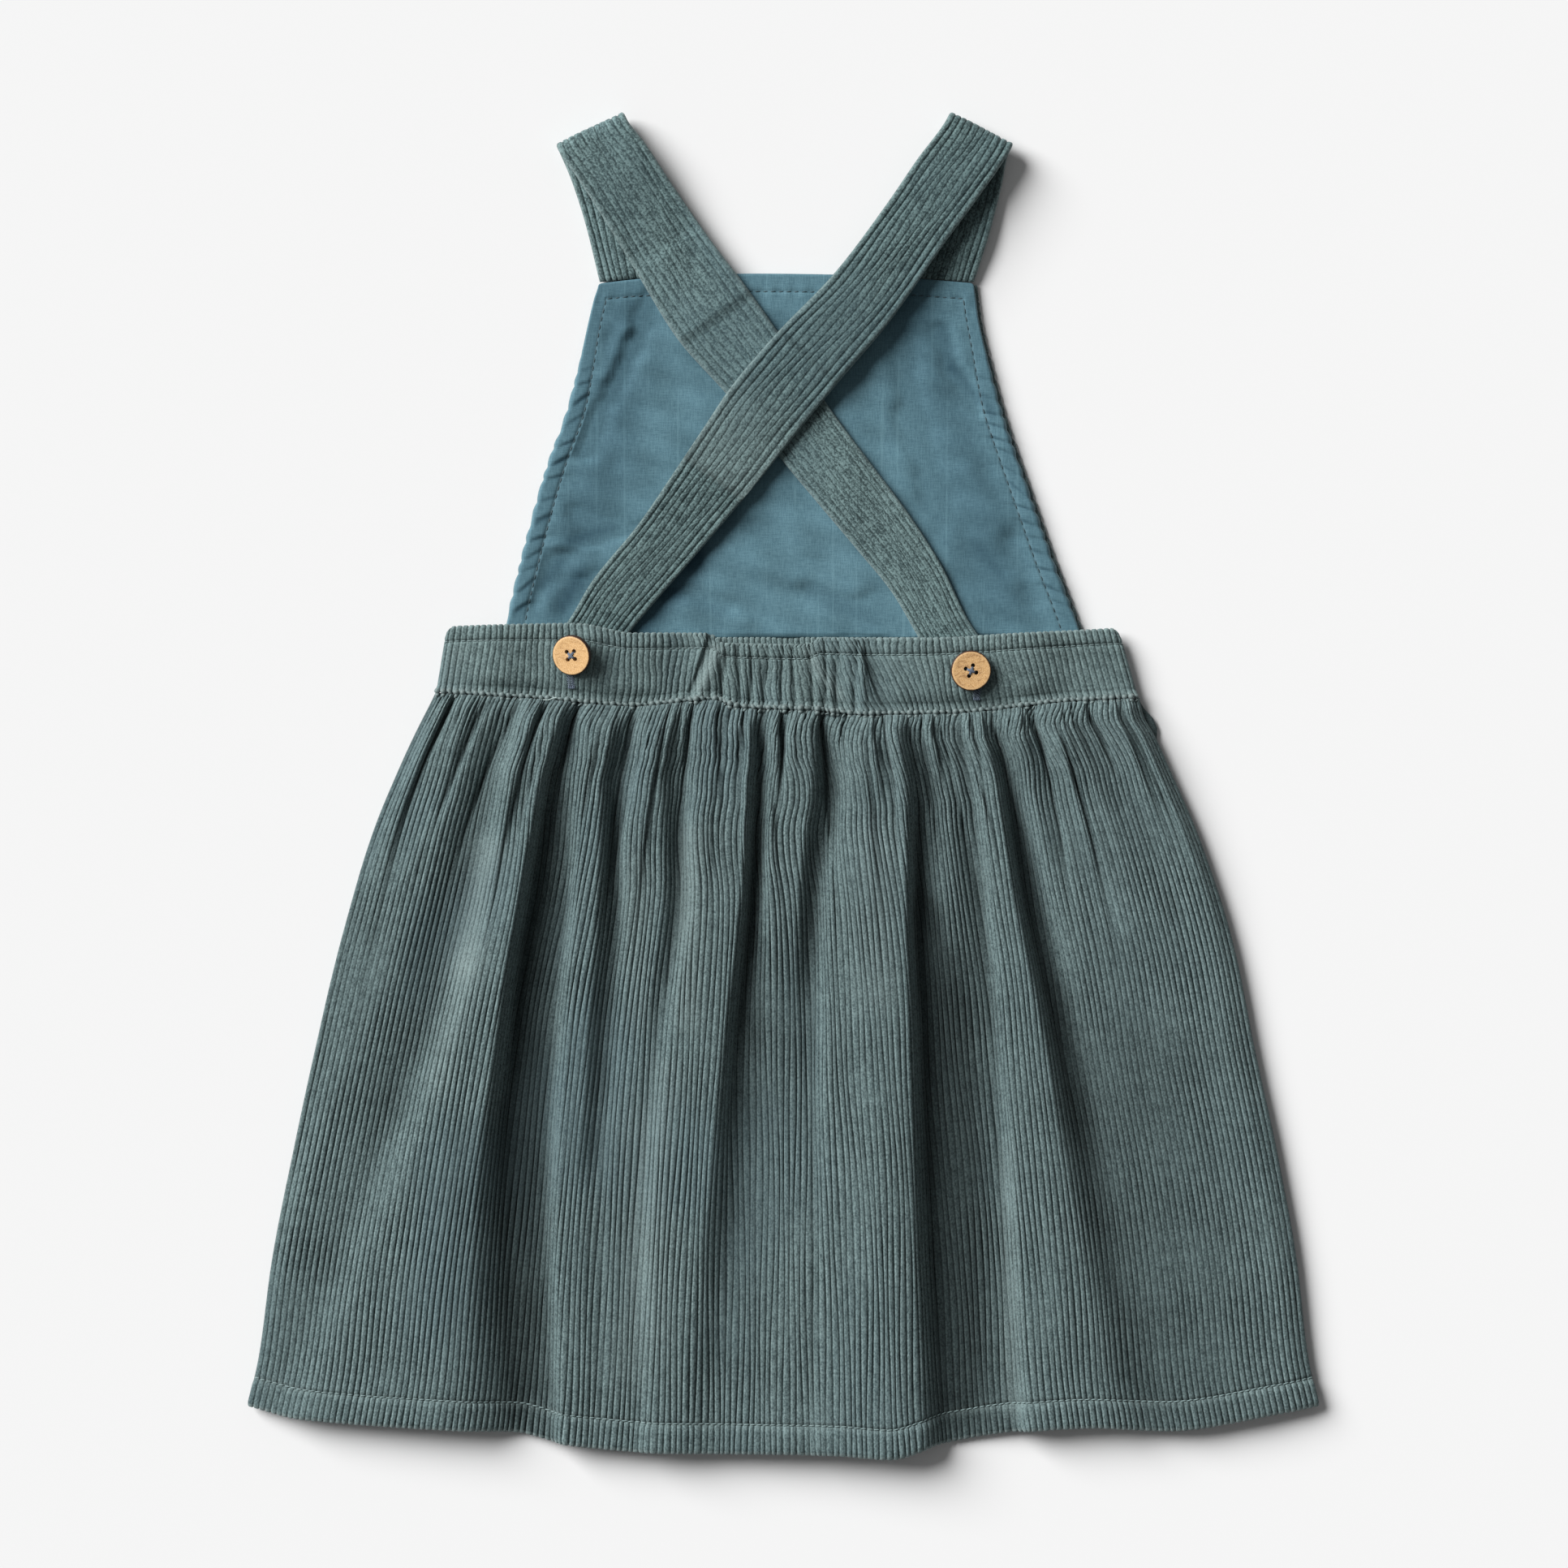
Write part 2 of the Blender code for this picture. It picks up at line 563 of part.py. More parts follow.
def strap_sections(side):
    """Sections of one strap, end to end, with a row added between far rows, and which lie past its fold."""
    front = list(zip(*STRAP_FRONT[side].values()))
    back = list(zip(*STRAP_BACK[side].values()))
    knots = np.array(front + fold_sections(side) + back)
    middle = np.stack([knots[:, 0] + knots[:, 2], knots[:, 1] + knots[:, 3], 2 * knots[:, 4]], axis=-1) / 2
    length = np.concatenate([[0.0], np.cumsum(np.linalg.norm(np.diff(middle, axis=0), axis=1))])
    at = [length[0]]
    for start, end in zip(length[:-1], length[1:]):
        steps = 2 if end - start > STRAP_ROW_STEP else 1
        at += list(np.linspace(start, end, steps + 1)[1:])
    at = np.array(at)
    past_fold = at > length[len(front)]
    return np.stack([curve(at, length, column) for column in knots.T], axis=-1), past_fold


def strap(side):
    """Shoulder strap: a ribbon of two layers, folded at the shoulder, with grooves between its ribs."""
    sections, past_fold = strap_sections(side)
    columns = 2 * STRAP_RIBS + 1
    across = np.linspace(0.0, 1.0, columns)[None, :]
    x = sections[:, 0:1] * (1 - across) + sections[:, 2:3] * across
    y = sections[:, 1:2] * (1 - across) + sections[:, 3:4] * across
    z = np.repeat(sections[:, 4:5], columns, axis=1)
    middle = np.stack([x, y, z], axis=-1)
    along = np.gradient(middle, axis=0)
    sideways = np.gradient(middle, axis=1)
    normal = np.cross(sideways, along)
    normal /= np.linalg.norm(normal, axis=-1, keepdims=True)
    half = CORDUROY_DOUBLE / 2
    grooved = half - rib_grooves(columns)[None, :] * past_fold[:, None]
    outer = middle - normal * grooved[..., None]
    inner = (middle + normal * half)[:, ::STRAP_RIBS]
    return add_wall(f"strap_{side}", outer, inner, "corduroy_strap")


def button(side):
    """Four-hole button: a turned disc with a raised rim and a dished middle."""
    radius = BUTTON_DIAMETER / 2
    half = BUTTON_THICKNESS / 2
    profile = [
        (0.0, -half), (radius - 1.0, -half), (radius, -0.4), (radius, 0.4), (radius - 0.7, half),
        (radius - 1.6, half), (radius - 2.6, half - 0.9 * BUTTON_DISH), (0.0, half - BUTTON_DISH),
    ]
    segments = 28
    shell = bmesh.new()
    path = [shell.verts.new((r * MM, 0.0, z * MM)) for r, z in profile]
    edges = [shell.edges.new(pair) for pair in zip(path[:-1], path[1:])]
    bmesh.ops.spin(shell, geom=path + edges, cent=(0, 0, 0), axis=(0, 0, 1), angle=2 * math.pi, steps=segments)
    bmesh.ops.remove_doubles(shell, verts=shell.verts, dist=1e-6)
    bmesh.ops.recalc_face_normals(shell, faces=shell.faces)
    mesh = bpy.data.meshes.new(f"button_{side}")
    shell.to_mesh(mesh)
    shell.free()
    disc = bpy.data.objects.new(f"button_{side}", mesh)
    bpy.context.collection.objects.link(disc)
    mesh.materials.append(make_material(f"button_{side}", "coconut"))
    place = BUTTONS[side]
    tilt = Matrix.Rotation(math.radians(place["tilt"]), 4, "Y")
    turn = Matrix.Rotation(math.radians(place["turn"]), 4, "Z")
    seat = Matrix.Translation(Vector((place["x"], place["y"], place["height"])) * MM) @ tilt @ turn
    disc.matrix_world = seat
    offset = BUTTON_HOLE_SPACING / 2 * MM
    for k, (x, y) in enumerate(((-offset, -offset), (offset, -offset), (offset, offset), (-offset, offset))):
        depth = 4 * BUTTON_THICKNESS * MM
        bpy.ops.mesh.primitive_cylinder_add(vertices=10, radius=BUTTON_HOLE / 2 * MM, depth=depth)
        cutter = bpy.context.object
        cutter.name = f"hole_{side}_{k}"
        cutter.hide_render = True
        cutter.display_type = "WIRE"
        cutter.matrix_world = seat @ Matrix.Translation((x, y, 0.0))
        cut = disc.modifiers.new(f"hole_{k}", "BOOLEAN")
        cut.operation = "DIFFERENCE"
        cut.solver = "EXACT"
        cut.object = cutter


def main():
    for item in list(bpy.data.objects):
        bpy.data.objects.remove(item, do_unlink=True)
    front_skirt()
    back_skirt()
    front_waistband()
    back_waistband()
    bib_front()
    bib_lining()
    for side in ("left", "right"):
        strap(side)
        button(side)


main()
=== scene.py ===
"""Looks of a child's corduroy pinafore dress, laid flat on a surface with its back up.

Tables are in millimetres and meshes in metres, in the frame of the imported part: +X to the right of the laid
dress, +Y from the hem to the shoulders and +Z up. A cloth piece is a closed wall between two grids of points,
whose rows run down the cloth and whose columns run across it. The map named "cloth" counts ribs across and
along a corduroy piece, and millimetres on the other pieces.
"""

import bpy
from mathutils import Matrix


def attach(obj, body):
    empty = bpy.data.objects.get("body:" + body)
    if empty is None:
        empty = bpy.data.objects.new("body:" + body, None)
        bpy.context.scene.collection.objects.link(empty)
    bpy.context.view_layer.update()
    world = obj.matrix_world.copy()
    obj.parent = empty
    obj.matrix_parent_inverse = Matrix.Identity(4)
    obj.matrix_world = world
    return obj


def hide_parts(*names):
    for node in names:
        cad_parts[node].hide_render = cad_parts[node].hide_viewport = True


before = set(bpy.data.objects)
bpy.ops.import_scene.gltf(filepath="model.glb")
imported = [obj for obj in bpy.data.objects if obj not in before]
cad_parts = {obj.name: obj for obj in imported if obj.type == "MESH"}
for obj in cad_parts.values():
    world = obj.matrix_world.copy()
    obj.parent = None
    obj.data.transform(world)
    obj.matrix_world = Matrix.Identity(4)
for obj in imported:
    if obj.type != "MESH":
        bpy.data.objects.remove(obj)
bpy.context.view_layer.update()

import math

import bpy
import numpy as np
from mathutils import Matrix, Vector

MM = 0.001

# Cloth
PIECE_GAP = 0.3
CORDUROY = 1.6
CORDUROY_DOUBLE = 3.0
LINING = 1.0
RIB_PITCH = 2.5
RIB_DEPTH = 0.82
SKIRT_WALL = 2.2

# One rib from groove to groove: places across it, and how far down each lies as a share of the groove's depth
RIB_PLACES = np.array([0.0, 0.11, 0.26, 0.74, 0.89])
RIB_FALL = np.array([1.0, 0.4, 0.0, 0.0, 0.4])

# Skirt
SKIRT_RIBS = 182
SKIRT_LENGTH = 286.0
GATHERS = 38
GATHER_HEIGHT = 5.0
GATHER_LENGTH = 0.15
PUCKERS = 91
PUCKER_TUCK = 1.9
PUCKER_LENGTH = 0.05
SEAM_HOLD = 0.009
GATHERS_GROW = 0.06
TUCK_DEPTH = 1.3
TUCK_LENGTH = 0.05
SEAM_HEIGHT = 5.2
FOLD_START = 0.05
FRONT_PANEL_INSET = 1.2
FRONT_PANEL_PEEK = 3.7
SIDE_EASE = 6.0
SKIRT_EDGE_HEIGHT = 4.4
FRONT_GATHERS = 44
FRONT_GATHER_LENGTH = 0.13
LET_IN_LIMIT = 1.25
SKIRT_LOWEST = 2.2
HEM_SCALLOP = 0.4
HEM_PLY = 0.6
HEM_LINE = 1.0 - 11.2 / SKIRT_LENGTH
HEM_ROLL = 0.992
SECTION_POINTS = 3001

# Waistband
BAND_RIBS = 120
ELASTIC = (-29.0, 35.0)
ELASTIC_WAVE = 5.6
ELASTIC_BUNCH = 2.0
BAND_RIB_DEPTH = 0.38
BAND_END_REACH = 3.4
BAND_END_FALL = 2.1
BAND_CORNER = 1.9
STRAP_LIFT = 3.4
BAND_WIDTH = 26.0
BAND_MAP_WIDTH = 11.0
BAND_ROLL = 0.955
BAND_ROWS = (1.0, BAND_ROLL, 0.84, 0.75, 0.17, 0.0)
TOP_STITCH = 0.79
SEAM_STITCH = 0.125
STITCH_REACH = 0.022
SEAM_ROLL = 0.045
FRONT_BAND_TOP = 56.0
FRONT_BAND_INSET = 1.0
BAND_SCALLOP = 0.55
FRONT_BAND_SCALLOP = 0.5

# Ribs of the waistband that slant beside the elastic: how far, in ribs, about which rib and how widely
SLANT = 4.2
SLANT_RIB = 73.0
SLANT_REACH = 13.0

# Straps
STRAP_RIBS = 11
STRAP_FOLD_RADIUS = 3.4
STRAP_ROW_STEP = 1.7
STRAP_RIB_DEPTH = 0.24
STRAP_EDGE = 0.35

# Bib
CASING = 7.0
CASING_TOP = 4.8
PUCKER_PITCH = 7.2
PUCKER_HEIGHT = 1.5
PUCKERS_START = 61.5
PUCKERS_END = 172.0
PUCKERS_FADE = 26.0
CASING_NARROWS = (178.0, 40.0)
LINING_PUFF = 0.45
BIB_EDGE = 1.4
BIB_RIBS = 76
BIB_FACE_SEAM = 0.95
TOP_HEM = 6.2

# Buttons
BUTTON_DIAMETER = 15.4
BUTTON_THICKNESS = 2.6
BUTTON_HOLE = 1.6
BUTTON_HOLE_SPACING = 3.0
BUTTON_DISH = 0.1
BUTTON_BEVEL = 0.3


def table(columns, *rows):
    """Rows of numbers as one array for each named column."""
    values = np.array(rows, float)
    return dict(zip(columns.split(), values.T))


# Skirt's side edges, by share of its length from the waist seam
SKIRT_SIDES = table(
    "share left right",
    (0.00, -133.6, 137.0),
    (0.025, -137.1, 138.6),
    (0.05, -140.6, 142.5),
    (0.10, -147.0, 148.6),
    (0.20, -158.2, 160.3),
    (0.35, -170.2, 173.3),
    (0.50, -180.0, 181.6),
    (0.65, -188.8, 190.4),
    (0.80, -196.8, 197.7),
    (0.93, -201.6, 201.8),
    (1.00, -205.9, 206.1),
)

# Seam between the back skirt and the back waistband
WAIST_SEAM = table(
    "x y",
    (-134.0, 35.4),
    (-94.0, 33.0),
    (-57.0, 30.2),
    (-27.0, 32.6),
    (-17.0, 29.6),
    (12.0, 28.5),
    (30.0, 26.8),
    (66.0, 27.5),
    (109.0, 31.8),
    (137.0, 33.4),
)

# Lower edge of the back skirt
HEM = table(
    "x y",
    (-206.0, -238.6),
    (-186.0, -243.2),
    (-130.0, -247.2),
    (-104.0, -248.6),
    (-84.0, -253.0),
    (-46.0, -256.2),
    (20.0, -257.0),
    (41.0, -258.4),
    (60.0, -253.4),
    (94.0, -248.0),
    (120.0, -246.6),
    (147.0, -248.0),
    (190.0, -241.6),
    (206.0, -238.6),
)

# Lengthwise folds of the back skirt, left to right: x and height of its outer side at each level, for the
# start and end of each ridge's top and for the lowest place between two ridges
FOLD_LEVELS = np.array([0.10, 0.25, 0.45, 0.70, 1.0])
FOLDS = (
    ("ridge_a", (-124, -138, -158, -184, -203), (8.5, 9.0, 8.2, 6.8, 5.2)),
    ("valley_a", (-112, -124, -140, -168, -198), (5.2, 5.2, 6.0, 6.0, 6.2)),
    ("ridge_b", (-104, -107, -124, -148, -184), (11.5, 13.2, 13.2, 12.0, 10.0)),
    ("ridge_b_end", (-93, -101, -110.5, -120, -124), (12.4, 14.2, 14.4, 13.4, 11.6)),
    ("valley_c", (-88, -95, -102, -104, -99), (5.0, 3.8, 3.2, 3.2, 3.4)),
    ("foot_d", (-83, -84.5, -90, -93, -90), (7.6, 4.8, 4.0, 4.0, 4.4)),
    ("ridge_d", (-76, -78.5, -82.5, -86, -84), (11.0, 11.6, 11.6, 11.2, 10.2)),
    ("ridge_d_end", (-70.5, -72, -76, -79, -79), (11.0, 11.4, 11.4, 11.0, 10.0)),
    ("valley_e", (-65, -64.5, -69, -71, -71), (5.8, 5.6, 7.6, 9.4, 9.2)),
    ("ridge_f", (-59, -59, -62, -66, -66), (9.5, 10.4, 9.8, 10.2, 9.6)),
    ("ridge_f_end", (-48, -47, -55, -61, -62), (10.8, 10.8, 10.0, 10.0, 9.6)),
    ("valley_g", (-41.5, -40, -50, -57, -58), (6.6, 7.2, 9.4, 10.0, 9.6)),
    ("ridge_h", (-34, -33, -42, -49, -50), (11.4, 12.8, 13.6, 13.6, 11.8)),
    ("ridge_h_end", (-14.5, -17, -24, -32, -40), (12.0, 12.8, 13.2, 12.8, 11.2)),
    ("valley_i", (-9, -11, -16, -20, -28), (5.0, 3.8, 4.2, 7.4, 9.6)),
    ("ridge_j", (-4, -5, -2, 5, 4), (10.2, 10.2, 6.8, 10.8, 11.0)),
    ("ridge_j_end", (10, 4.5, 3, 8, 6), (10.4, 10.2, 6.8, 11.0, 11.0)),
    ("valley_k", (17, 11.5, 9, 11, 9), (5.6, 5.4, 6.2, 11.0, 11.0)),
    ("ridge_l", (27, 19, 17.5, 16, 14), (12.0, 12.8, 13.2, 13.0, 12.2)),
    ("ridge_l_top", (38, 36, 36, 36, 40), (12.8, 14.6, 14.8, 14.6, 13.2)),
    ("ridge_l_end", (46.5, 46.5, 48, 49.5, 52.5), (12.0, 13.6, 13.6, 13.2, 11.8)),
    ("valley_m", (53, 52.5, 55.5, 58.5, 64), (4.8, 3.8, 3.2, 3.2, 3.4)),
    ("ridge_n", (63, 64, 70, 74, 80), (9.4, 8.4, 4.2, 4.0, 4.2)),
    ("valley_o", (71, 75, 79, 83, 88), (5.6, 5.2, 4.4, 4.4, 4.6)),
    ("ridge_p", (76, 80.5, 85.5, 90, 95), (10.8, 11.4, 11.2, 11.0, 10.4)),
    ("ridge_p_end", (81, 87.5, 98.5, 110, 126), (11.2, 12.4, 12.4, 11.4, 10.2)),
    ("valley_q", (86.3, 93.8, 106.5, 122, 142), (4.6, 3.2, 3.8, 6.0, 7.0)),
    ("ridge_r", (94, 104, 121, 140, 160), (10.0, 9.4, 7.8, 7.8, 8.2)),
    ("valley_r", (104, 115, 134, 154, 172), (6.4, 8.2, 7.6, 7.8, 8.0)),
    ("ridge_s", (113, 127, 150, 166, 182), (10.0, 9.4, 8.0, 8.0, 8.0)),
    ("valley_s", (128, 148, 161, 176, 189), (6.4, 7.4, 7.6, 7.6, 7.4)),
    ("ridge_t", (137, 158, 169, 183, 197), (8.2, 7.8, 7.4, 7.4, 6.8)),
)

# Shallower creases of the skirt, each along a straight stretch: a ridge where the height is above 0
SKIRT_CREASES = table(
    "start_x start_y end_x end_y width height",
    (114.0, 22.0, 152.0, -50.0, 4.0, -1.2),
    (108.0, 17.0, 133.0, -56.0, 5.0, 1.0),
    (133.0, -14.0, 158.0, -52.0, 4.0, 0.9),
    (-133.0, -14.0, -149.0, -40.0, 4.0, 1.0),
    (-112.0, 4.0, -122.0, -44.0, 4.0, -0.8),
    (-60.0, -60.0, -74.0, -150.0, 5.0, -0.7),
    (-12.0, -70.0, -26.0, -160.0, 6.0, 0.8),
    (20.0, -20.0, 25.0, -120.0, 6.0, -0.8),
    (26.0, -110.0, 20.0, -220.0, 7.0, -0.6),
    (100.0, -120.0, 108.0, -220.0, 5.0, 0.6),
    (158.0, -110.0, 176.0, -200.0, 7.0, -0.7),
    (-160.0, -120.0, -172.0, -215.0, 7.0, 0.6),
)

# Painted shade where the height is above 0 and painted highlights below 0, each along a straight stretch:
# shade in the valleys, highlights on the crests, and a darker patch on the lower right
SKIRT_PAINTED_SHADE_AND_HIGHLIGHT = table(
    "start_x start_y end_x end_y width height",
    (132.0, -110.0, 150.0, -225.0, 34.0, 0.5),
    (56.0, -50.0, 62.0, -150.0, 7.0, 0.6),
    (66.0, -70.0, 71.0, -235.0, 9.5, 0.5),
    (62.5, -85.0, 64.0, -235.0, 5.5, 0.42),
    (47.5, -120.0, 49.0, -235.0, 5.0, 0.25),
    (-107.0, -125.0, -104.0, -240.0, 6.0, 0.42),
    (-96.0, -60.0, -96.0, -230.0, 8.0, 0.3),
    (-112.0, -25.0, -122.0, -70.0, 5.5, -0.34),
    (-122.0, -70.0, -132.0, -112.0, 6.5, -0.24),
    (-35.0, -20.0, -37.0, -90.0, 5.0, -0.28),
    (36.0, -20.0, 36.0, -80.0, 8.0, -0.18),
    (-56.0, -30.0, -56.0, -90.0, 5.0, -0.16),
    (-46.0, -110.0, -49.0, -210.0, 6.0, -0.2),
    (86.0, -140.0, 88.0, -240.0, 5.0, -0.26),
    (-123.0, -135.0, -124.0, -240.0, 8.0, 0.3),
    (-55.0, -130.0, -58.0, -225.0, 8.0, -0.2),
    (-158.0, -55.0, -168.0, -120.0, 10.0, 0.2),
    (-17.0, -25.0, -20.0, -100.0, 6.0, 0.18),
)

# Where the pile stands up and hides the grooves, or is parted and shows them below 0
FLUFFY = table(
    "start_x start_y end_x end_y width height",
    (-150.0, -30.0, -162.0, -80.0, 14.0, 0.6),
    (-115.0, -28.0, -126.0, -90.0, 7.0, 0.6),
    (124.0, -20.0, 142.0, -125.0, 13.0, 0.7),
    (98.0, -180.0, 100.0, -210.0, 9.0, 0.5),
    (-198.0, -185.0, -188.0, -215.0, 12.0, 0.5),
    (-75.0, -90.0, -80.0, -150.0, 6.0, 0.4),
    (30.0, -90.0, 28.0, -200.0, 10.0, 0.35),
    (150.0, -130.0, 166.0, -215.0, 16.0, 0.6),
    (-20.0, -120.0, -20.0, -210.0, 9.0, 0.3),
    (-131.0, -15.0, -131.0, -85.0, 6.0, -0.4),
    (150.0, -40.0, 178.0, -95.0, 8.0, -0.5),
    (78.0, -170.0, 82.0, -230.0, 8.0, -0.4),
    (-140.0, -150.0, -132.0, -230.0, 12.0, -0.3),
)

# Painted shade on the lining, each along a straight stretch: the straps' shadows on it, and its hollows
LINING_PAINTED_SHADE = table(
    "start_x start_y end_x end_y width height",
    (-84.0, 74.0, -57.0, 180.0, 13.0, 0.42),
    (84.0, 74.0, 50.0, 182.0, 15.0, 0.42),
    (-18.0, 105.0, -34.0, 86.0, 3.4, 0.5),
    (-34.0, 86.0, -54.0, 61.0, 4.6, 0.85),
    (-82.0, 93.5, -66.0, 98.5, 2.3, 0.42),
    (-92.0, 77.0, -86.0, 85.0, 2.2, 0.4),
    (-85.0, 68.0, -78.0, 80.0, 3.0, 0.5),
    (-46.0, 74.0, -24.0, 66.0, 3.0, 0.32),
    (12.0, 74.0, 34.0, 63.0, 4.0, 0.32),
    (74.0, 92.0, 84.0, 80.0, 2.6, 0.25),
    (61.0, 176.0, 65.0, 160.0, 2.2, 0.3),
    (65.0, 160.0, 80.0, 143.0, 2.0, 0.38),
    (-13.0, 181.0, -4.0, 174.0, 3.0, 0.5),
    (-66.0, 186.0, -60.0, 120.0, 8.0, 0.14),
)

# Top edge of the back waistband
BAND_TOP = table(
    "x y",
    (-129.4, 60.0),
    (-105.0, 60.9),
    (-78.0, 61.2),
    (-58.0, 57.6),
    (-31.0, 57.6),
    (-27.0, 56.8),
    (-23.0, 53.8),
    (8.0, 53.2),
    (15.0, 55.8),
    (51.0, 55.6),
    (89.0, 57.4),
    (129.0, 59.6),
)

# x of the waistband's corners
BAND_ENDS = {"bottom_left": -133.4, "top_left": -129.4, "bottom_right": 136.4, "top_right": 129.0}

# Where the straps pass under the back waistband and lift it
STRAP_ZONES = table(
    "start full end gone",
    (-127.0, -106.0, -54.0, -33.0),
    (26.0, 47.0, 93.0, 114.0),
)

# Slanted ridges in the waistband at the ends of its elastic
BAND_CREASES = table(
    "bottom_x top_x width height",
    (-33.0, -22.5, 3.2, 2.1),
    (34.0, 24.0, 3.8, 1.5),
    (20.0, 10.0, 2.4, 0.9),
    (-24.6, -21.5, 1.5, -1.3),
    (47.0, 37.0, 3.0, 0.6),
)

# Folded edges in the waistband: the cloth is high on one side of a slanting line and drops across it
BAND_STEPS = table(
    "bottom_x top_x high_side height reach",
    (-38.5, -28.5, -1.0, 2.1, 7.0),
    (40.5, 29.0, -1.0, 2.2, 11.0),
)

# Soft rises of the waistband beside the buttons, each along a straight stretch
BAND_RISES = table(
    "start_x start_y end_x end_y width height",
    (-75.5, 44.0, -73.5, 55.0, 5.0, 1.7),
    (66.5, 47.0, 68.5, 52.0, 5.0, 0.5),
)

# Painted highlights on crests of the waistband's folds, each along a straight stretch
BAND_PAINTED_HIGHLIGHT = table(
    "start_x start_y end_x end_y width height",
    (-26.5, 51.0, -31.5, 37.0, 2.8, 0.6),
    (9.5, 50.0, 21.0, 34.0, 2.2, 0.4),
    (-127.0, 50.0, -129.0, 40.0, 5.0, 0.2),
)

# Bib's side edges
BIB_SIDES = table(
    "y left right",
    (56.3, -107.4, 116.4),
    (67.5, -105.3, 112.4),
    (86.2, -100.9, 105.2),
    (105.0, -96.0, 98.6),
    (123.8, -90.4, 92.0),
    (142.5, -83.6, 85.8),
    (161.2, -78.6, 80.7),
    (180.0, -74.4, 76.4),
    (192.4, -71.3, 74.9),
)

# Top edge of the bib
BIB_TOP = table("x y", (-71.3, 192.4), (-50.0, 194.6), (-10.0, 196.2), (30.0, 195.6), (75.0, 192.4))

# The bib from the front waistband up to the corners of its top edge, and where its hem's seam lies in that
BIB_LOW = FRONT_BAND_TOP + PIECE_GAP
BIB_HIGH = BIB_TOP["y"][0]
BIB_LENGTH = BIB_HIGH - BIB_LOW
TOP_SEAM = (BIB_LENGTH - TOP_HEM) / BIB_LENGTH

# Soft wrinkles of the lining, each along a straight stretch: a ridge where the height is above 0
LINING_WRINKLES = table(
    "start_x start_y end_x end_y width height",
    (-51.0, 186.0, -58.0, 168.0, 3.6, -1.1),
    (-58.0, 168.0, -66.0, 152.0, 3.6, -1.5),
    (-66.0, 152.0, -76.0, 128.0, 3.4, -1.2),
    (-60.0, 174.0, -69.0, 150.0, 3.0, 0.8),
    (-80.0, 104.0, -66.0, 98.0, 3.0, -0.8),
    (-62.0, 96.0, -44.0, 101.0, 2.6, -0.6),
    (-86.0, 80.0, -72.0, 74.0, 3.0, -0.8),
    (-88.0, 92.0, -74.0, 90.0, 2.4, 0.5),
    (-12.0, 98.0, 14.0, 84.0, 3.4, -0.6),
    (-20.0, 90.0, 4.0, 78.0, 3.0, 0.5),
    (47.0, 170.0, 49.0, 140.0, 5.0, -0.7),
    (49.0, 140.0, 58.0, 112.0, 5.0, -1.0),
    (58.0, 112.0, 61.0, 98.0, 5.0, -0.6),
    (61.0, 174.0, 65.0, 160.0, 3.0, -0.9),
    (65.0, 160.0, 77.0, 144.0, 3.0, -1.1),
    (34.0, 70.0, 46.0, 58.0, 5.0, -1.0),
    (-82.5, 88.8, -67.0, 97.0, 4.0, -0.7),
    (-95.6, 70.3, -89.7, 83.4, 3.5, -0.7),
    (-83.8, 68.8, -72.8, 78.4, 4.0, -0.8),
    (-42.5, 77.5, -21.0, 68.0, 3.5, -0.6),
    (-36.0, 70.0, -14.0, 62.0, 3.0, 0.4),
    (12.0, 75.0, 34.0, 65.0, 4.0, -0.6),
    (-64.0, 122.0, -50.0, 112.0, 4.0, -0.5),
    (70.0, 96.0, 84.0, 82.0, 4.0, -0.5),
    (72.0, 120.0, 84.0, 100.0, 5.0, 0.5),
    (88.0, 92.0, 96.0, 72.0, 4.0, -0.5),
)

# Straps by their two edges: from the bib's top up to the shoulder fold, and from there down across the back
STRAP_FRONT = {
    "left": table(
        "left_x left_y right_x right_y height",
        (-70.6, 193.1, -44.8, 195.6, 1.8),
        (-76.2, 215.9, -51.6, 223.8, 2.6),
        (-81.6, 232.5, -56.3, 243.1, 2.4),
    ),
    "right": table(
        "left_x left_y right_x right_y height",
        (47.9, 194.9, 73.4, 193.1, 1.8),
        (54.4, 219.1, 79.4, 211.9, 3.4),
        (59.4, 240.6, 84.1, 230.6, 3.2),
    ),
}
SHOULDER_FOLD = {
    "left": {"left": (-87.5, 245.8), "right": (-61.6, 258.4)},
    "right": {"left": (64.4, 258.4), "right": (88.6, 246.2)},
}
STRAP_BACK = {
    "left": table(
        "left_x left_y right_x right_y height",
        (-79.4, 233.1, -53.6, 246.6, 8.8),
        (-67.5, 214.7, -41.6, 228.6, 7.0),
        (-54.4, 193.1, -29.1, 210.6, 5.6),
        (-40.6, 170.9, -13.8, 190.3, 5.2),
        (-22.5, 150.6, 2.2, 167.5, 5.0),
        (-1.3, 125.3, 20.3, 140.9, 5.0),
        (12.5, 108.8, 33.4, 123.4, 5.0),
        (29.4, 88.8, 48.8, 102.8, 5.0),
        (41.6, 73.8, 60.9, 83.8, 5.0),
        (51.6, 56.9, 71.2, 62.8, 4.8),
        (61.6, 40.0, 81.6, 47.2, 4.8),
        (64.0, 34.6, 84.0, 41.2, 4.8),
    ),
    "right": table(
        "left_x left_y right_x right_y height",
        (51.6, 239.7, 74.7, 224.7, 9.8),
        (39.4, 221.9, 61.6, 206.9, 9.6),
        (19.7, 195.9, 41.2, 177.8, 9.0),
        (-3.4, 171.9, 18.8, 151.2, 8.5),
        (-20.3, 151.9, 2.2, 130.9, 8.4),
        (-30.3, 136.9, -7.2, 119.1, 8.2),
        (-40.6, 121.6, -18.4, 105.6, 7.2),
        (-55.6, 99.7, -35.0, 86.2, 6.4),
        (-73.4, 77.8, -54.4, 63.8, 5.9),
        (-83.1, 61.9, -65.6, 50.0, 4.8),
        (-89.4, 55.0, -71.9, 43.8, 4.8),
        (-96.9, 47.2, -79.4, 35.9, 4.8),
    ),
}
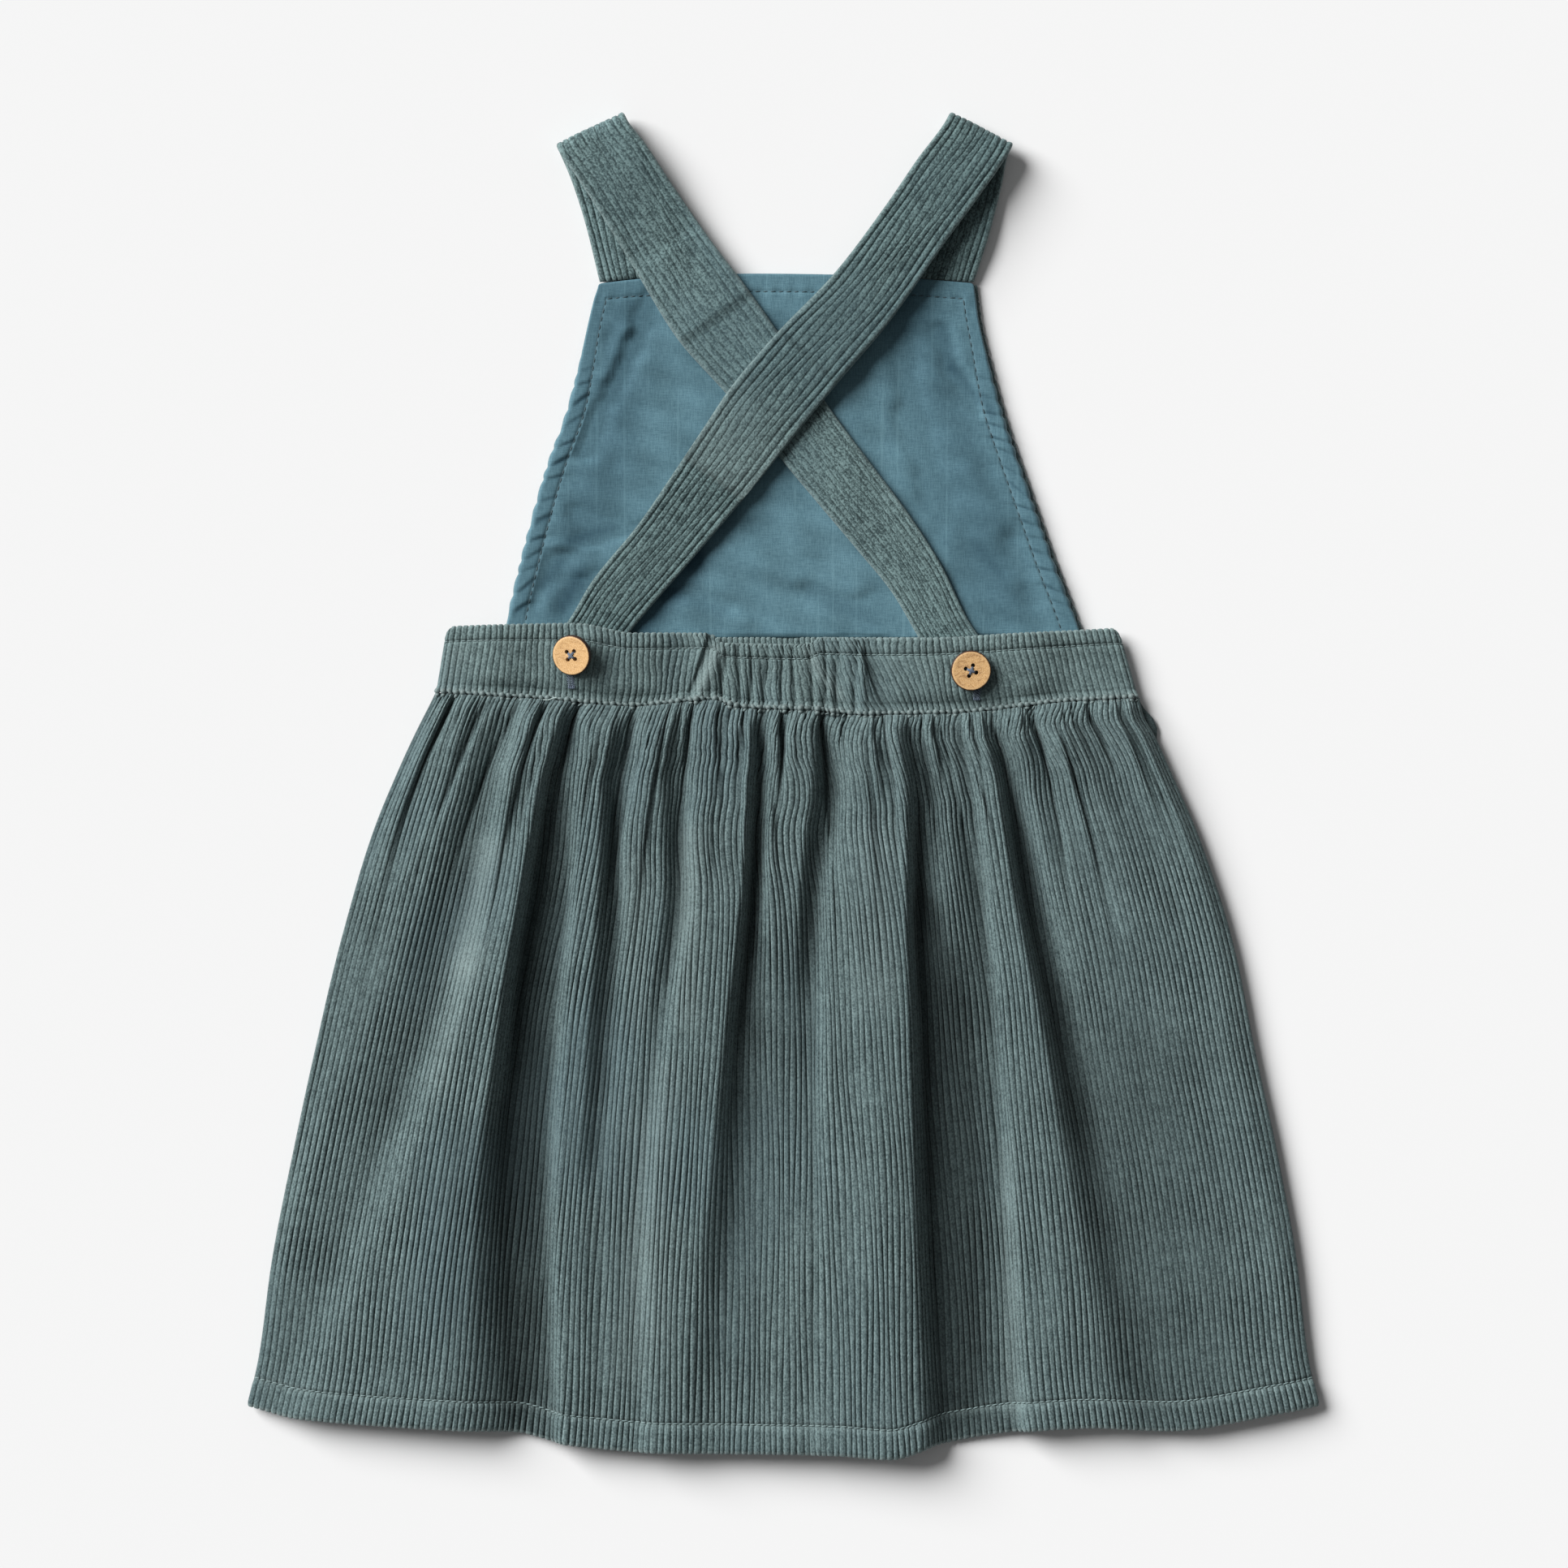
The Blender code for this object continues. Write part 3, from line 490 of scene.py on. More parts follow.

# Ends of the layers inside a strap, which show as a step across it: a point on the step, its height there,
# how dark the painted shade along its line is, and how pale the pile is worn above it
STRAP_STEPS = {
    "left": table("x y height dark pale", (-46.1, 204.8, -1.0, 0.2, 0.0), (-22.5, 182.0, 0.9, 0.3, 0.0)),
    "right": table("x y height dark pale", (10.9, 162.8, 1.3, 0.4, 0.0), (-28.3, 118.8, -1.4, 0.48, 0.2)),
}

# Buttons: a little turned and tilted by the strap that pulls them, and the buttonhole that shows below each
BUTTONS = {
    "left": {"x": -80.8, "y": 49.3, "height": 13.0, "tilt": -20.0, "lean": 10.0, "turn": 4.0},
    "right": {"x": 71.9, "y": 43.4, "height": 11.6, "tilt": 1.0, "lean": 4.0, "turn": 25.0},
}
BUTTONHOLES = {
    "left": {"x": -81.2, "low": 37.4, "high": 53.0},
    "right": {"x": 74.2, "low": 33.0, "high": 49.0},
}

# Rows of stitches: the pitch between them, their length and radius, the degrees they lean and how unevenly
STITCHES = {
    "hem_back": {"pitch": 2.5, "length": 2.1, "radius": 0.26, "lean": 6.0},
    "hem_front": {"pitch": 3.0, "length": 2.2, "radius": 0.24},
    "band_top": {"pitch": 2.4, "length": 2.0, "radius": 0.2},
    "seam_rope": {"pitch": 2.5, "length": 2.4, "radius": 0.95, "lean": -34.0, "uneven": 0.35},
    "seam_rope_under": {"pitch": 2.5, "length": 2.0, "radius": 0.6, "lean": 30.0, "uneven": 0.5},
    "bib_top": {"pitch": 3.0, "length": 2.1, "radius": 0.3, "lean": 8.0},
    "bib_casing": {"pitch": 3.2, "length": 2.1, "radius": 0.28},
    "buttonhole": {"pitch": 0.85, "length": 2.1, "radius": 0.26, "lean": 52.0},
    "buttonhole_bar": {"pitch": 0.5, "length": 1.6, "radius": 0.26, "lean": 84.0},
}

# Linear colours
TEAL_SHADE = (0.044, 0.066, 0.069, 1.0)
TEAL_LIGHT = (0.178, 0.242, 0.243, 1.0)
TEAL_BLUE = (0.094, 0.146, 0.168, 1.0)
# Pale worn pile, also used for painted highlights
TEAL_WEAR_AND_HIGHLIGHT = (0.26, 0.33, 0.325, 1.0)
# Painted shade that darkens the grooves between the ribs
GROOVE_PAINTED_SHADE = (0.34, 0.38, 0.38, 1.0)
WEAVE_TINT = (0.7, 0.74, 0.74, 1.0)
# Painted shade: the colour that the shade mark multiplies into the corduroy, in hollows, grooves and shadowed
# places
PAINTED_SHADE_TINT = (0.27, 0.28, 0.28, 1.0)
# Painted shade on the lining: the colour that its shade mark multiplies in
COTTON_PAINTED_SHADE_TINT = (0.27, 0.38, 0.44, 1.0)
SHEEN_TINT = (0.72, 0.86, 0.86, 1.0)
COTTON_SHADE = (0.050, 0.120, 0.155, 1.0)
COTTON = (0.086, 0.186, 0.236, 1.0)
COTTON_LIGHT = (0.145, 0.275, 0.325, 1.0)
COCONUT_DARK = (0.24, 0.105, 0.038, 1.0)
COCONUT = (0.58, 0.33, 0.125, 1.0)
COCONUT_LIGHT = (0.76, 0.50, 0.25, 1.0)
# Dark skin of the shell at the rim, with painted shade round the edge
COCONUT_SKIN_AND_PAINTED_SHADE = (0.045, 0.018, 0.010, 1.0)
THREAD_TEAL = (0.22, 0.31, 0.31, 1.0)
THREAD_COTTON = (0.026, 0.062, 0.078, 1.0)
THREAD_VIOLET = (0.130, 0.172, 0.240, 1.0)
THREAD_SEAM = (0.165, 0.222, 0.220, 1.0)
THREAD_PALE = (0.42, 0.53, 0.51, 1.0)
FLOOR = (0.86, 0.86, 0.86, 1.0)

# Corduroy of the pieces: its tint, how strong the painted shade in its grooves and the painted highlight on
# its rib edges are, and how even its pile looks
CORDUROYS = {
    "corduroy": {"tint": (0.97, 1.0, 1.005), "painted_rib_shading": 0.9, "even": 0.18},
    "corduroy_band": {"tint": (1.04, 1.07, 1.055), "painted_rib_shading": 0.62, "even": 0.18},
    "corduroy_strap_left": {"tint": (0.97, 1.07, 1.07), "painted_rib_shading": 0.5, "even": 0.09},
    "corduroy_strap_right": {"tint": (0.745, 0.835, 0.835), "painted_rib_shading": 0.5, "even": 0.09},
}

# Coconut shell of the buttons: how strongly it is mottled, and how wide its dark rim is: the shell's dark
# skin, widened with painted shade round its edge
COCONUTS = {
    "left": {"mottled": 0.5, "skin": 0.45},
    "right": {"mottled": 0.9, "skin": 0.5},
}


# ---------------------------------------------------------------------------------------------------------
# Shader maths


class Wire:
    """Output of a node. Arithmetic on wires and numbers adds Math nodes to its finish."""

    def __init__(self, finish, socket):
        self.finish = finish
        self.socket = socket

    def maths(self, operation, *values):
        """Math node of one operation on wires and numbers."""
        return self.finish.node("ShaderNodeMath", {"operation": operation}, dict(enumerate(values)))

    def __add__(self, other):
        return self.maths("ADD", self, other)

    def __sub__(self, other):
        return self.maths("SUBTRACT", self, other)

    def __rsub__(self, other):
        return self.maths("SUBTRACT", other, self)

    def __mul__(self, other):
        return self.maths("MULTIPLY", self, other)

    def __abs__(self):
        return self.maths("ABSOLUTE", self)

    __radd__ = __add__
    __rmul__ = __mul__


class Finish:
    """A material and the nodes that colour it."""

    def __init__(self, name):
        self.material = bpy.data.materials.new(name)
        self.material.use_nodes = True
        self.tree = self.material.node_tree
        self.shader = self.tree.nodes["Principled BSDF"]

    def connect(self, socket, value):
        """Link a wire to a socket, or set the socket to a plain value."""
        if isinstance(value, Wire):
            self.tree.links.new(value.socket, socket)
        else:
            socket.default_value = value

    def node(self, kind, settings=None, inputs=None, output=0):
        """Node of one type: its settings first, then its sockets, by place, identifier or name."""
        node = self.tree.nodes.new(kind)
        for name, value in (settings or {}).items():
            setattr(node, name, value)
        by_identifier = {socket.identifier: socket for socket in node.inputs}
        for key, value in (inputs or {}).items():
            socket = by_identifier[key] if key in by_identifier else node.inputs[key]
            self.connect(socket, value)
        found = [socket for socket in node.outputs if output in (socket.identifier, socket.name)]
        return Wire(self, found[0] if found else node.outputs[output])

    def mix(self, first, second, share, blend="MIX"):
        """Colour between two, or blended, by a share from 0 to 1."""
        settings = {"data_type": "RGBA", "blend_type": blend}
        inputs = {"Factor_Float": share, "A_Color": first, "B_Color": second}
        return self.node("ShaderNodeMix", settings, inputs, "Result_Color")

    def ramp(self, value, low, high, start=0.0, end=1.0):
        """Eased change from start, where the value is low, to end, where it is high."""
        inputs = {"Value": value, "From Min": low, "From Max": high, "To Min": start, "To Max": end}
        return self.node("ShaderNodeMapRange", {"interpolation_type": "SMOOTHSTEP"}, inputs, "Result")

    def noise(self, place, scale, stretch=(1.0, 1.0), detail=2.0, roughness=0.5):
        """Cloudy value from 0 to 1 over the cloth, stretched across or along it."""
        turned = self.node("ShaderNodeMapping", {}, {"Vector": place, "Scale": (*stretch, 1.0)}, "Vector")
        inputs = {"Vector": turned, "Scale": scale, "Detail": detail, "Roughness": roughness}
        return self.node("ShaderNodeTexNoise", {"noise_dimensions": "2D"}, inputs, "Fac")

    def cloth_place(self):
        """Place on the cloth's own map."""
        return self.node("ShaderNodeUVMap", {"uv_map": "cloth"}, {}, "UV")

    def part(self, place, axis):
        """Value of a place across the cloth, X, or along it, Y."""
        return self.node("ShaderNodeSeparateXYZ", {}, {"Vector": place}, axis)

    def off_groove(self, across, shift=0.0):
        """How far a value across lies from the nearest groove, in ribs: below 0 to the left of the groove."""
        shifted = across + 0.5 + shift
        return shifted.maths("FRACT", shifted) - 0.5

    def mark(self, name):
        """Value that the mesh carries at each of its points."""
        return self.node("ShaderNodeAttribute", {"attribute_name": name}, {}, "Fac")

    def bump(self, height, strength, depth):
        """Normal of a surface that rises with a height from 0 to 1, by a depth in millimetres."""
        inputs = {"Height": height, "Strength": strength, "Distance": depth * MM}
        return self.node("ShaderNodeBump", {}, inputs, "Normal")

    def surface(self, **sockets):
        """Set the shader's sockets: underscores stand for spaces."""
        for name, value in sockets.items():
            self.connect(self.shader.inputs[name.replace("_", " ")], value)
        return self.material


def corduroy_finish(name, tint, painted_rib_shading, even):
    """Cut pile in ribs: mottled tufts with ragged edges, and a nap brushed in patches.

    The grooves carry painted shade, dark here and faint there. Each rib has a pale line of tufts along its
    left edge, a painted highlight on the side that the lamp lights.
    A bluer cast lies over it in clouds, and is strongest over the first ribs.
    """
    finish = Finish(name)
    place = finish.cloth_place()
    across = finish.part(place, "X")
    tufts = finish.noise(place, 3.4, (1.0, 0.75), detail=3.0, roughness=0.75)
    clumps = finish.noise(place, 1.2, (1.0, 0.5), detail=2.0)
    ragged = finish.noise(place, 2.6, (0.5, 1.0), detail=1.0)
    off_groove = finish.off_groove(across, (ragged - 0.5) * 0.16)
    parted = 1.0 - finish.mark("fluff") * 0.8
    groove = finish.ramp(abs(off_groove + 0.02), 0.04, 0.15, 1.0, 0.0) * parted
    # Painted highlight: a pale line along each rib's left edge, the side that faces the lamp
    edge = finish.ramp(abs(off_groove - 0.2), 0.02, 0.12, 1.0, 0.0) * parted
    nap = finish.noise(place, 0.3, (1.0, 0.25), detail=2.0)
    clouds = finish.noise(place, 0.045, (1.0, 0.5), detail=2.0)
    patches = finish.noise(place, 0.12, (1.0, 0.3), detail=2.0)
    pile = tufts * 0.65 + clumps * 0.25 + nap * 0.1
    shade = finish.mix(TEAL_SHADE, TEAL_LIGHT, finish.ramp(pile, 0.5 - even, 0.5 + even))
    shade = finish.mix(shade, TEAL_WEAR_AND_HIGHLIGHT, edge * finish.ramp(tufts, 0.35, 0.65, 0.15, 0.65) * painted_rib_shading)
    bluer = finish.ramp(clouds, 0.42, 0.72, 0.0, 0.2) * finish.ramp(across, 50.0, 125.0, 1.7, 0.3)
    shade = finish.mix(shade, TEAL_BLUE, bluer)
    # Painted shade: the grooves are darkened in the colour, where the lamp leaves them in shade
    dark = groove * finish.ramp(patches, 0.3, 0.7, 0.55, 1.0) * painted_rib_shading
    shade = finish.mix(shade, GROOVE_PAINTED_SHADE, dark, "MULTIPLY")
    shade = finish.mix(shade, (*tint, 1.0), 1.0, "MULTIPLY")
    # Painted shade, as strong as the shade mark says
    shade = finish.mix(shade, PAINTED_SHADE_TINT, finish.mark("shade"), "MULTIPLY")
    # Paler where the wear mark says: worn pile, and painted highlights on crests and rolled edges
    shade = finish.mix(shade, TEAL_WEAR_AND_HIGHLIGHT, finish.mark("wear") * finish.ramp(tufts, 0.3, 0.7, 0.5, 1.0))
    return finish.surface(
        Base_Color=shade,
        Roughness=finish.ramp(tufts, 0.2, 0.8, 0.95, 0.8),
        Normal=finish.bump(tufts - groove * 0.4, 0.5, 0.4),
        Specular_IOR_Level=0.15,
        Sheen_Weight=0.35,
        Sheen_Roughness=0.45,
        Sheen_Tint=SHEEN_TINT,
    )


def reverse_finish():
    """Wrong side of the corduroy: a close plain weave with the ribs showing faintly through."""
    finish = Finish("corduroy_reverse")
    place = finish.cloth_place()
    off_groove = abs(finish.off_groove(finish.part(place, "X")))
    weave = finish.noise(place, 3.0, (3.0, 0.6)) * 0.5 + finish.noise(place, 3.0, (0.6, 3.0)) * 0.5
    shade = finish.mix(TEAL_SHADE, TEAL_LIGHT, finish.ramp(weave, 0.3, 0.75))
    shade = finish.mix(shade, WEAVE_TINT, finish.ramp(off_groove, 0.0, 0.12, 0.5, 0.0), "MULTIPLY")
    return finish.surface(
        Base_Color=shade,
        Roughness=0.9,
        Normal=finish.bump(weave, 0.4, 0.3),
        Specular_IOR_Level=0.2,
    )


def cotton_finish():
    """Plain-woven cotton: fine crossing yarns of uneven thickness, a few pale slubs and soft clouding."""
    finish = Finish("cotton_lining")
    place = finish.cloth_place()
    warp = finish.noise(place, 2.3, (1.0, 0.10), detail=2.0, roughness=0.6)
    weft = finish.noise(place, 2.3, (0.10, 1.0), detail=2.0, roughness=0.6)
    grain = finish.noise(place, 3.2, detail=1.0)
    clouds = finish.noise(place, 0.02, detail=2.0)
    slubs = finish.noise(place, 0.55, (1.0, 0.02), detail=0.0)
    yarns = warp * 0.4 + weft * 0.35 + grain * 0.25
    shade = finish.mix(COTTON_SHADE, COTTON_LIGHT, finish.ramp(yarns, 0.3, 0.7))
    shade = finish.mix(shade, COTTON, 0.35)
    shade = finish.mix(shade, COTTON_SHADE, finish.ramp(clouds, 0.35, 0.65, 0.0, 0.15))
    shade = finish.mix(shade, COTTON_LIGHT, finish.ramp(slubs, 0.74, 0.8, 0.0, 0.4))
    # Painted shade: the straps' shadows, hollows and crease lines, as strong as the shade mark says
    shade = finish.mix(shade, COTTON_PAINTED_SHADE_TINT, finish.mark("shade"), "MULTIPLY")
    # Paler where the wear mark says: worn edges, and painted highlights
    shade = finish.mix(shade, TEAL_WEAR_AND_HIGHLIGHT, finish.mark("wear") * 0.35)
    return finish.surface(
        Base_Color=shade,
        Roughness=finish.ramp(grain, 0.3, 0.7, 0.85, 0.72),
        Normal=finish.bump(yarns, 0.28, 0.25),
        Specular_IOR_Level=0.3,
        Sheen_Weight=0.12,
        Sheen_Roughness=0.5,
        Sheen_Tint=SHEEN_TINT,
    )


def coconut_finish(name, mottled, skin):
    """Turned coconut shell: tan, with brown and pale flecks, and a dark rim: the shell's skin and painted
    shade.
    """
    finish = Finish(name)
    place = finish.cloth_place()
    from_middle = finish.node("ShaderNodeVectorMath", {"operation": "LENGTH"}, {0: place}, "Value")
    flecks = finish.noise(place, 1.5, (1.0, 1.0), detail=4.0, roughness=0.7)
    specks = finish.noise(place, 3.0, (1.0, 0.6), detail=3.0, roughness=0.7)
    streaks = finish.noise(place, 0.8, (0.4, 1.4), detail=3.0)
    blotches = finish.noise(place, 0.45, (1.0, 0.7), detail=3.0, roughness=0.6)
    shade = finish.mix(COCONUT, COCONUT_LIGHT, finish.ramp(specks, 0.38, 0.62))
    shade = finish.mix(shade, COCONUT_DARK, finish.ramp(blotches, 0.5, 0.72, 0.0, 0.5 * mottled))
    shade = finish.mix(shade, COCONUT_DARK, finish.ramp(flecks, 0.55, 0.68, 0.0, 0.6 * mottled))
    shade = finish.mix(shade, COCONUT_DARK, finish.ramp(streaks, 0.58, 0.66, 0.0, 0.5 * mottled))
    radius = BUTTON_DIAMETER / 2
    bevel = finish.ramp(abs(from_middle - (radius - 0.8)), 0.05, 0.3, 0.7, 0.0)
    shade = finish.mix(shade, COCONUT_LIGHT, bevel)
    # Dark rim: the shell's skin, widened with painted shade
    rim = finish.ramp(from_middle + (flecks - 0.5) * 0.3, radius - skin, radius - skin + 0.2)
    shade = finish.mix(shade, COCONUT_SKIN_AND_PAINTED_SHADE, rim)
    return finish.surface(
        Base_Color=shade,
        Roughness=finish.ramp(flecks, 0.3, 0.7, 0.45, 0.6),
        Normal=finish.bump(flecks + specks * 0.5, 0.3, 0.15),
        Specular_IOR_Level=0.4,
    )


def thread_finish(name, colour):
    """Twisted sewing thread: slanting dark lines between its strands, and a soft lustre."""
    finish = Finish(name)
    place = finish.cloth_place()
    across = finish.part(place, "X")
    along = finish.part(place, "Y")
    twist = finish.ramp(abs(along.maths("SINE", along * 9.0 + across * 3.0)), 0.0, 0.5)
    dark = (*(0.45 * value for value in colour[:3]), 1.0)
    return finish.surface(
        Base_Color=finish.mix(dark, colour, twist),
        Roughness=0.55,
        Normal=finish.bump(twist, 0.4, 0.1),
        Sheen_Weight=0.3,
        Sheen_Roughness=0.4,
    )


# ---------------------------------------------------------------------------------------------------------
# Curves, grids and meshes

# Places of a stitch's rings, as shares of half its length, and the angles of the points round a thread
SPINDLE = np.array([-1.0, -0.85, -0.45, 0.0, 0.45, 0.85, 1.0])
ROUND = np.arange(6) * math.pi / 3


def smooth_step(value):
    """0 below 0, 1 above 1 and an eased rise between."""
    u = np.clip(value, 0.0, 1.0)
    return u * u * (3.0 - 2.0 * u)


def bell(value):
    """1 at 0, falling to nothing on both sides."""
    return np.exp(-(value**2))


def curve(at, xs, ys):
    """Smooth curve through the points (xs, ys) that never overshoots: cubic pieces, level at each turn."""
    xs = np.asarray(xs, float)
    ys = np.asarray(ys, float)
    steps = np.diff(ys) / np.diff(xs)
    before, after = steps[:-1], steps[1:]
    same_way = before * after > 0.0
    mean = 2.0 * before * after / np.where(same_way, before + after, 1.0)
    slopes = np.concatenate([[steps[0]], np.where(same_way, mean, 0.0), [steps[-1]]])
    i = np.clip(np.searchsorted(xs, at) - 1, 0, len(xs) - 2)
    step = xs[i + 1] - xs[i]
    u = np.clip((at - xs[i]) / step, 0.0, 1.0)
    rise = u * u * (3.0 - 2.0 * u)
    start_slope = u * (1.0 - u) ** 2 * step * slopes[i]
    end_slope = u * u * (u - 1.0) * step * slopes[i + 1]
    return ys[i] * (1.0 - rise) + ys[i + 1] * rise + start_slope + end_slope


def line_at(at, points):
    """Smooth curve through the rows of a table: its second column by its first."""
    return curve(at, *points.values())


def sides_at(at, edges):
    """Smooth curves through the rows of a table: its left and its right column by its first."""
    by, left, right = edges.values()
    return curve(at, by, left), curve(at, by, right)


def turned_edge(inwards, reach):
    """How far an edge that is rolled over falls, as a share of its whole fall: a quarter of a circle."""
    u = np.clip(1.0 - inwards / reach, 0.0, 1.0)
    return 1.0 - np.sqrt(1.0 - u * u)


def rolled(share):
    """The same fall as the share rises from 0 to 1, eased at its start."""
    return 1.0 - np.sqrt(1.0 - smooth_step(share) ** 2)


def stations(places, steps):
    """Places along a line: from each of the given ones to the next in a number of equal steps."""
    stretches = zip(places, places[1:], steps)
    parts = [np.linspace(start, end, count, endpoint=False) for start, end, count in stretches]
    return np.append(np.concatenate(parts), places[-1])


def rib_stations(ribs):
    """Places across the cloth, in ribs, and how far down each lies as a share of a groove's depth."""
    places = (np.arange(ribs)[:, None] + RIB_PLACES).ravel()
    fall = np.tile(RIB_FALL, ribs)
    return np.append(places, ribs), np.append(fall, 1.0)


def row_at(rows, place):
    """Number of the row that lies nearest to a place."""
    return np.argmin(np.abs(rows - place))


def stacked(*values):
    """Values brought to one shape and joined along a last axis."""
    return np.stack(np.broadcast_arrays(*values), axis=-1)


def unit(vectors):
    """Vectors brought to length 1."""
    return vectors / np.linalg.norm(vectors, axis=-1, keepdims=True)


def spread(left, right, height, shares):
    """x from left to right at the given shares of a section's arc length. Its height is a function of x."""
    x = np.linspace(left, right, SECTION_POINTS)
    arc = np.concatenate([[0.0], np.cumsum(np.hypot(np.diff(x), np.diff(height(x))))])
    return np.interp(shares * arc[-1], arc, x)


def hollow(height, reach, depth):
    """How far each point lies below the mean of its row nearby, from 0 to 1, as a share of a depth."""
    padded = np.pad(height, ((0, 0), (reach, reach)), mode="edge")
    total = np.cumsum(np.pad(padded, ((0, 0), (1, 0))), axis=1)
    mean = (total[:, 2 * reach + 1:] - total[:, : -2 * reach - 1]) / (2 * reach + 1)
    return np.clip((mean - height) / depth, 0.0, 1.0)


def normals_of(grid):
    """Unit normals of a grid of points: the row direction crossed with the column direction."""
    return unit(np.cross(np.gradient(grid, axis=0), np.gradient(grid, axis=1)))


def crease_height(x, y, creases):
    """Sum of soft ridges and troughs: height times a bell of the distance to each crease's stretch."""
    total = np.zeros(np.broadcast(x, y).shape)
    for start_x, start_y, end_x, end_y, width, height in zip(*creases.values()):
        run_x, run_y = end_x - start_x, end_y - start_y
        share = ((x - start_x) * run_x + (y - start_y) * run_y) / (run_x**2 + run_y**2)
        nearest = np.clip(share, 0.0, 1.0)
        away = np.hypot(x - start_x - nearest * run_x, y - start_y - nearest * run_y)
        total += height * bell(away / width)
    return total


def ripples(x, y, *waves):
    """Sum of sines, each with its height, its wavelength and the direction it runs in, in degrees."""
    total = 0.0
    for number, (height, length, direction) in enumerate(waves):
        angle = math.radians(direction)
        along = x * math.cos(angle) + y * math.sin(angle)
        total = total + height * np.sin(2.0 * math.pi * along / length + 1.7 * number)
    return total


def lengths_along(path):
    """Length of a path of points up to each of them."""
    return np.concatenate([[0.0], np.cumsum(np.linalg.norm(np.diff(path, axis=0), axis=1))])


def along_path(path, at):
    """Points at the given lengths along a path of points."""
    length = lengths_along(path)
    return np.stack([np.interp(at, length, column) for column in path.T], axis=-1)


def grid_faces(rows, columns, first=0):
    """Quads of a grid of points numbered row by row, facing the side its normals point to."""
    row, column = np.meshgrid(np.arange(rows - 1), np.arange(columns - 1), indexing="ij")
    corner = (first + row * columns + column).ravel()
    return np.stack([corner, corner + columns, corner + columns + 1, corner + 1], axis=-1)


def ring_faces(rings, around):
    """Quads of a tube, whose points are numbered ring by ring."""
    first, place = np.meshgrid(np.arange(rings - 1) * around, np.arange(around), indexing="ij")
    after = (place + 1) % around
    quads = np.stack([first + place, first + after, first + around + after, first + around + place], axis=-1)
    return quads.reshape(-1, 4)


def add_mesh(name, points, faces, cloth, materials, slots=None, **marks):
    """Smooth object from points in millimetres, blocks of faces, and the cloth map's value at each point.

    The marks say at each point how far the cloth is paled by wear and by painted highlights, darkened by
    painted shade, and fluffed up.
    """
    mesh = bpy.data.meshes.new(name)
    mesh.from_pydata((points * MM).tolist(), [], [face for block in faces for face in block.tolist()])
    corners = np.empty(len(mesh.loops), np.int32)
    mesh.loops.foreach_get("vertex_index", corners)
    mesh.uv_layers.new(name="cloth").data.foreach_set("uv", cloth[corners].astype(np.float32).ravel())
    for mark in ("wear", "shade", "fluff"):
        values = marks.get(mark, np.zeros(len(points)))
        mesh.attributes.new(mark, "FLOAT", "POINT").data.foreach_set("value", values.astype(np.float32))
    for material in materials:
        mesh.materials.append(material)
    if slots is not None:
        mesh.polygons.foreach_set("material_index", slots)
    mesh.shade_smooth()
    piece = bpy.data.objects.new(name, mesh)
    bpy.context.collection.objects.link(piece)
    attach(piece, "root")
    return piece


def add_wall(name, outer, inner, cloth, materials, **marks):
    """Closed wall of cloth between an outer grid of points and an inner one with as many rows, maybe coarser.

    The outer side takes the first material, and the inner side and the four rims the last.
    """
    rows, columns = outer.shape[:2]
    inner_columns = inner.shape[1]
    share = (columns - 1) // (inner_columns - 1)
    base = rows * columns
    row = np.arange(rows - 1) * columns
    inner_row = base + np.arange(rows - 1) * inner_columns
    left = np.stack([row + columns, row, inner_row, inner_row + inner_columns], axis=-1)
    right = left[:, ::-1] + np.array([inner_columns - 1, inner_columns - 1, columns - 1, columns - 1])
    column = np.arange(inner_columns - 1)[:, None]
    rim = column * share + np.arange(share + 1)
    top = np.hstack([rim, base + column + 1, base + column])
    last = (rows - 1) * columns
    last_inner = base + (rows - 1) * inner_columns
    bottom = np.hstack([last + rim[:, ::-1], last_inner + column, last_inner + column + 1])
    outside = grid_faces(rows, columns)
    inside = grid_faces(rows, inner_columns, base)[:, ::-1]
    faces = [outside, inside, left, right, top, bottom]
    slots = np.full(sum(map(len, faces)), len(materials) - 1, np.int32)
    slots[: len(outside)] = 0
    points = np.vstack([outer.reshape(-1, 3), inner.reshape(-1, 3)])
    cloth = np.vstack([cloth.reshape(-1, 2), cloth[:, ::share].reshape(-1, 2)])
    marks = {mark: np.append(values, values[:, ::share]) for mark, values in marks.items()}
    return add_mesh(name, points, faces, cloth, materials, slots, **marks)


def add_tubes(name, points, cloth, material):
    """Closed tubes from a grid of points: by tube, by ring along it, and round each ring."""
    count, rings, around = points.shape[:3]
    first = np.arange(count)[:, None, None] * rings * around
    ends = np.stack([np.arange(around)[::-1], (rings - 1) * around + np.arange(around)])
    faces = [(first + ring_faces(rings, around)).reshape(-1, 4), (first + ends).reshape(-1, around)]
    return add_mesh(name, points.reshape(-1, 3), faces, cloth.reshape(-1, 2), [material])


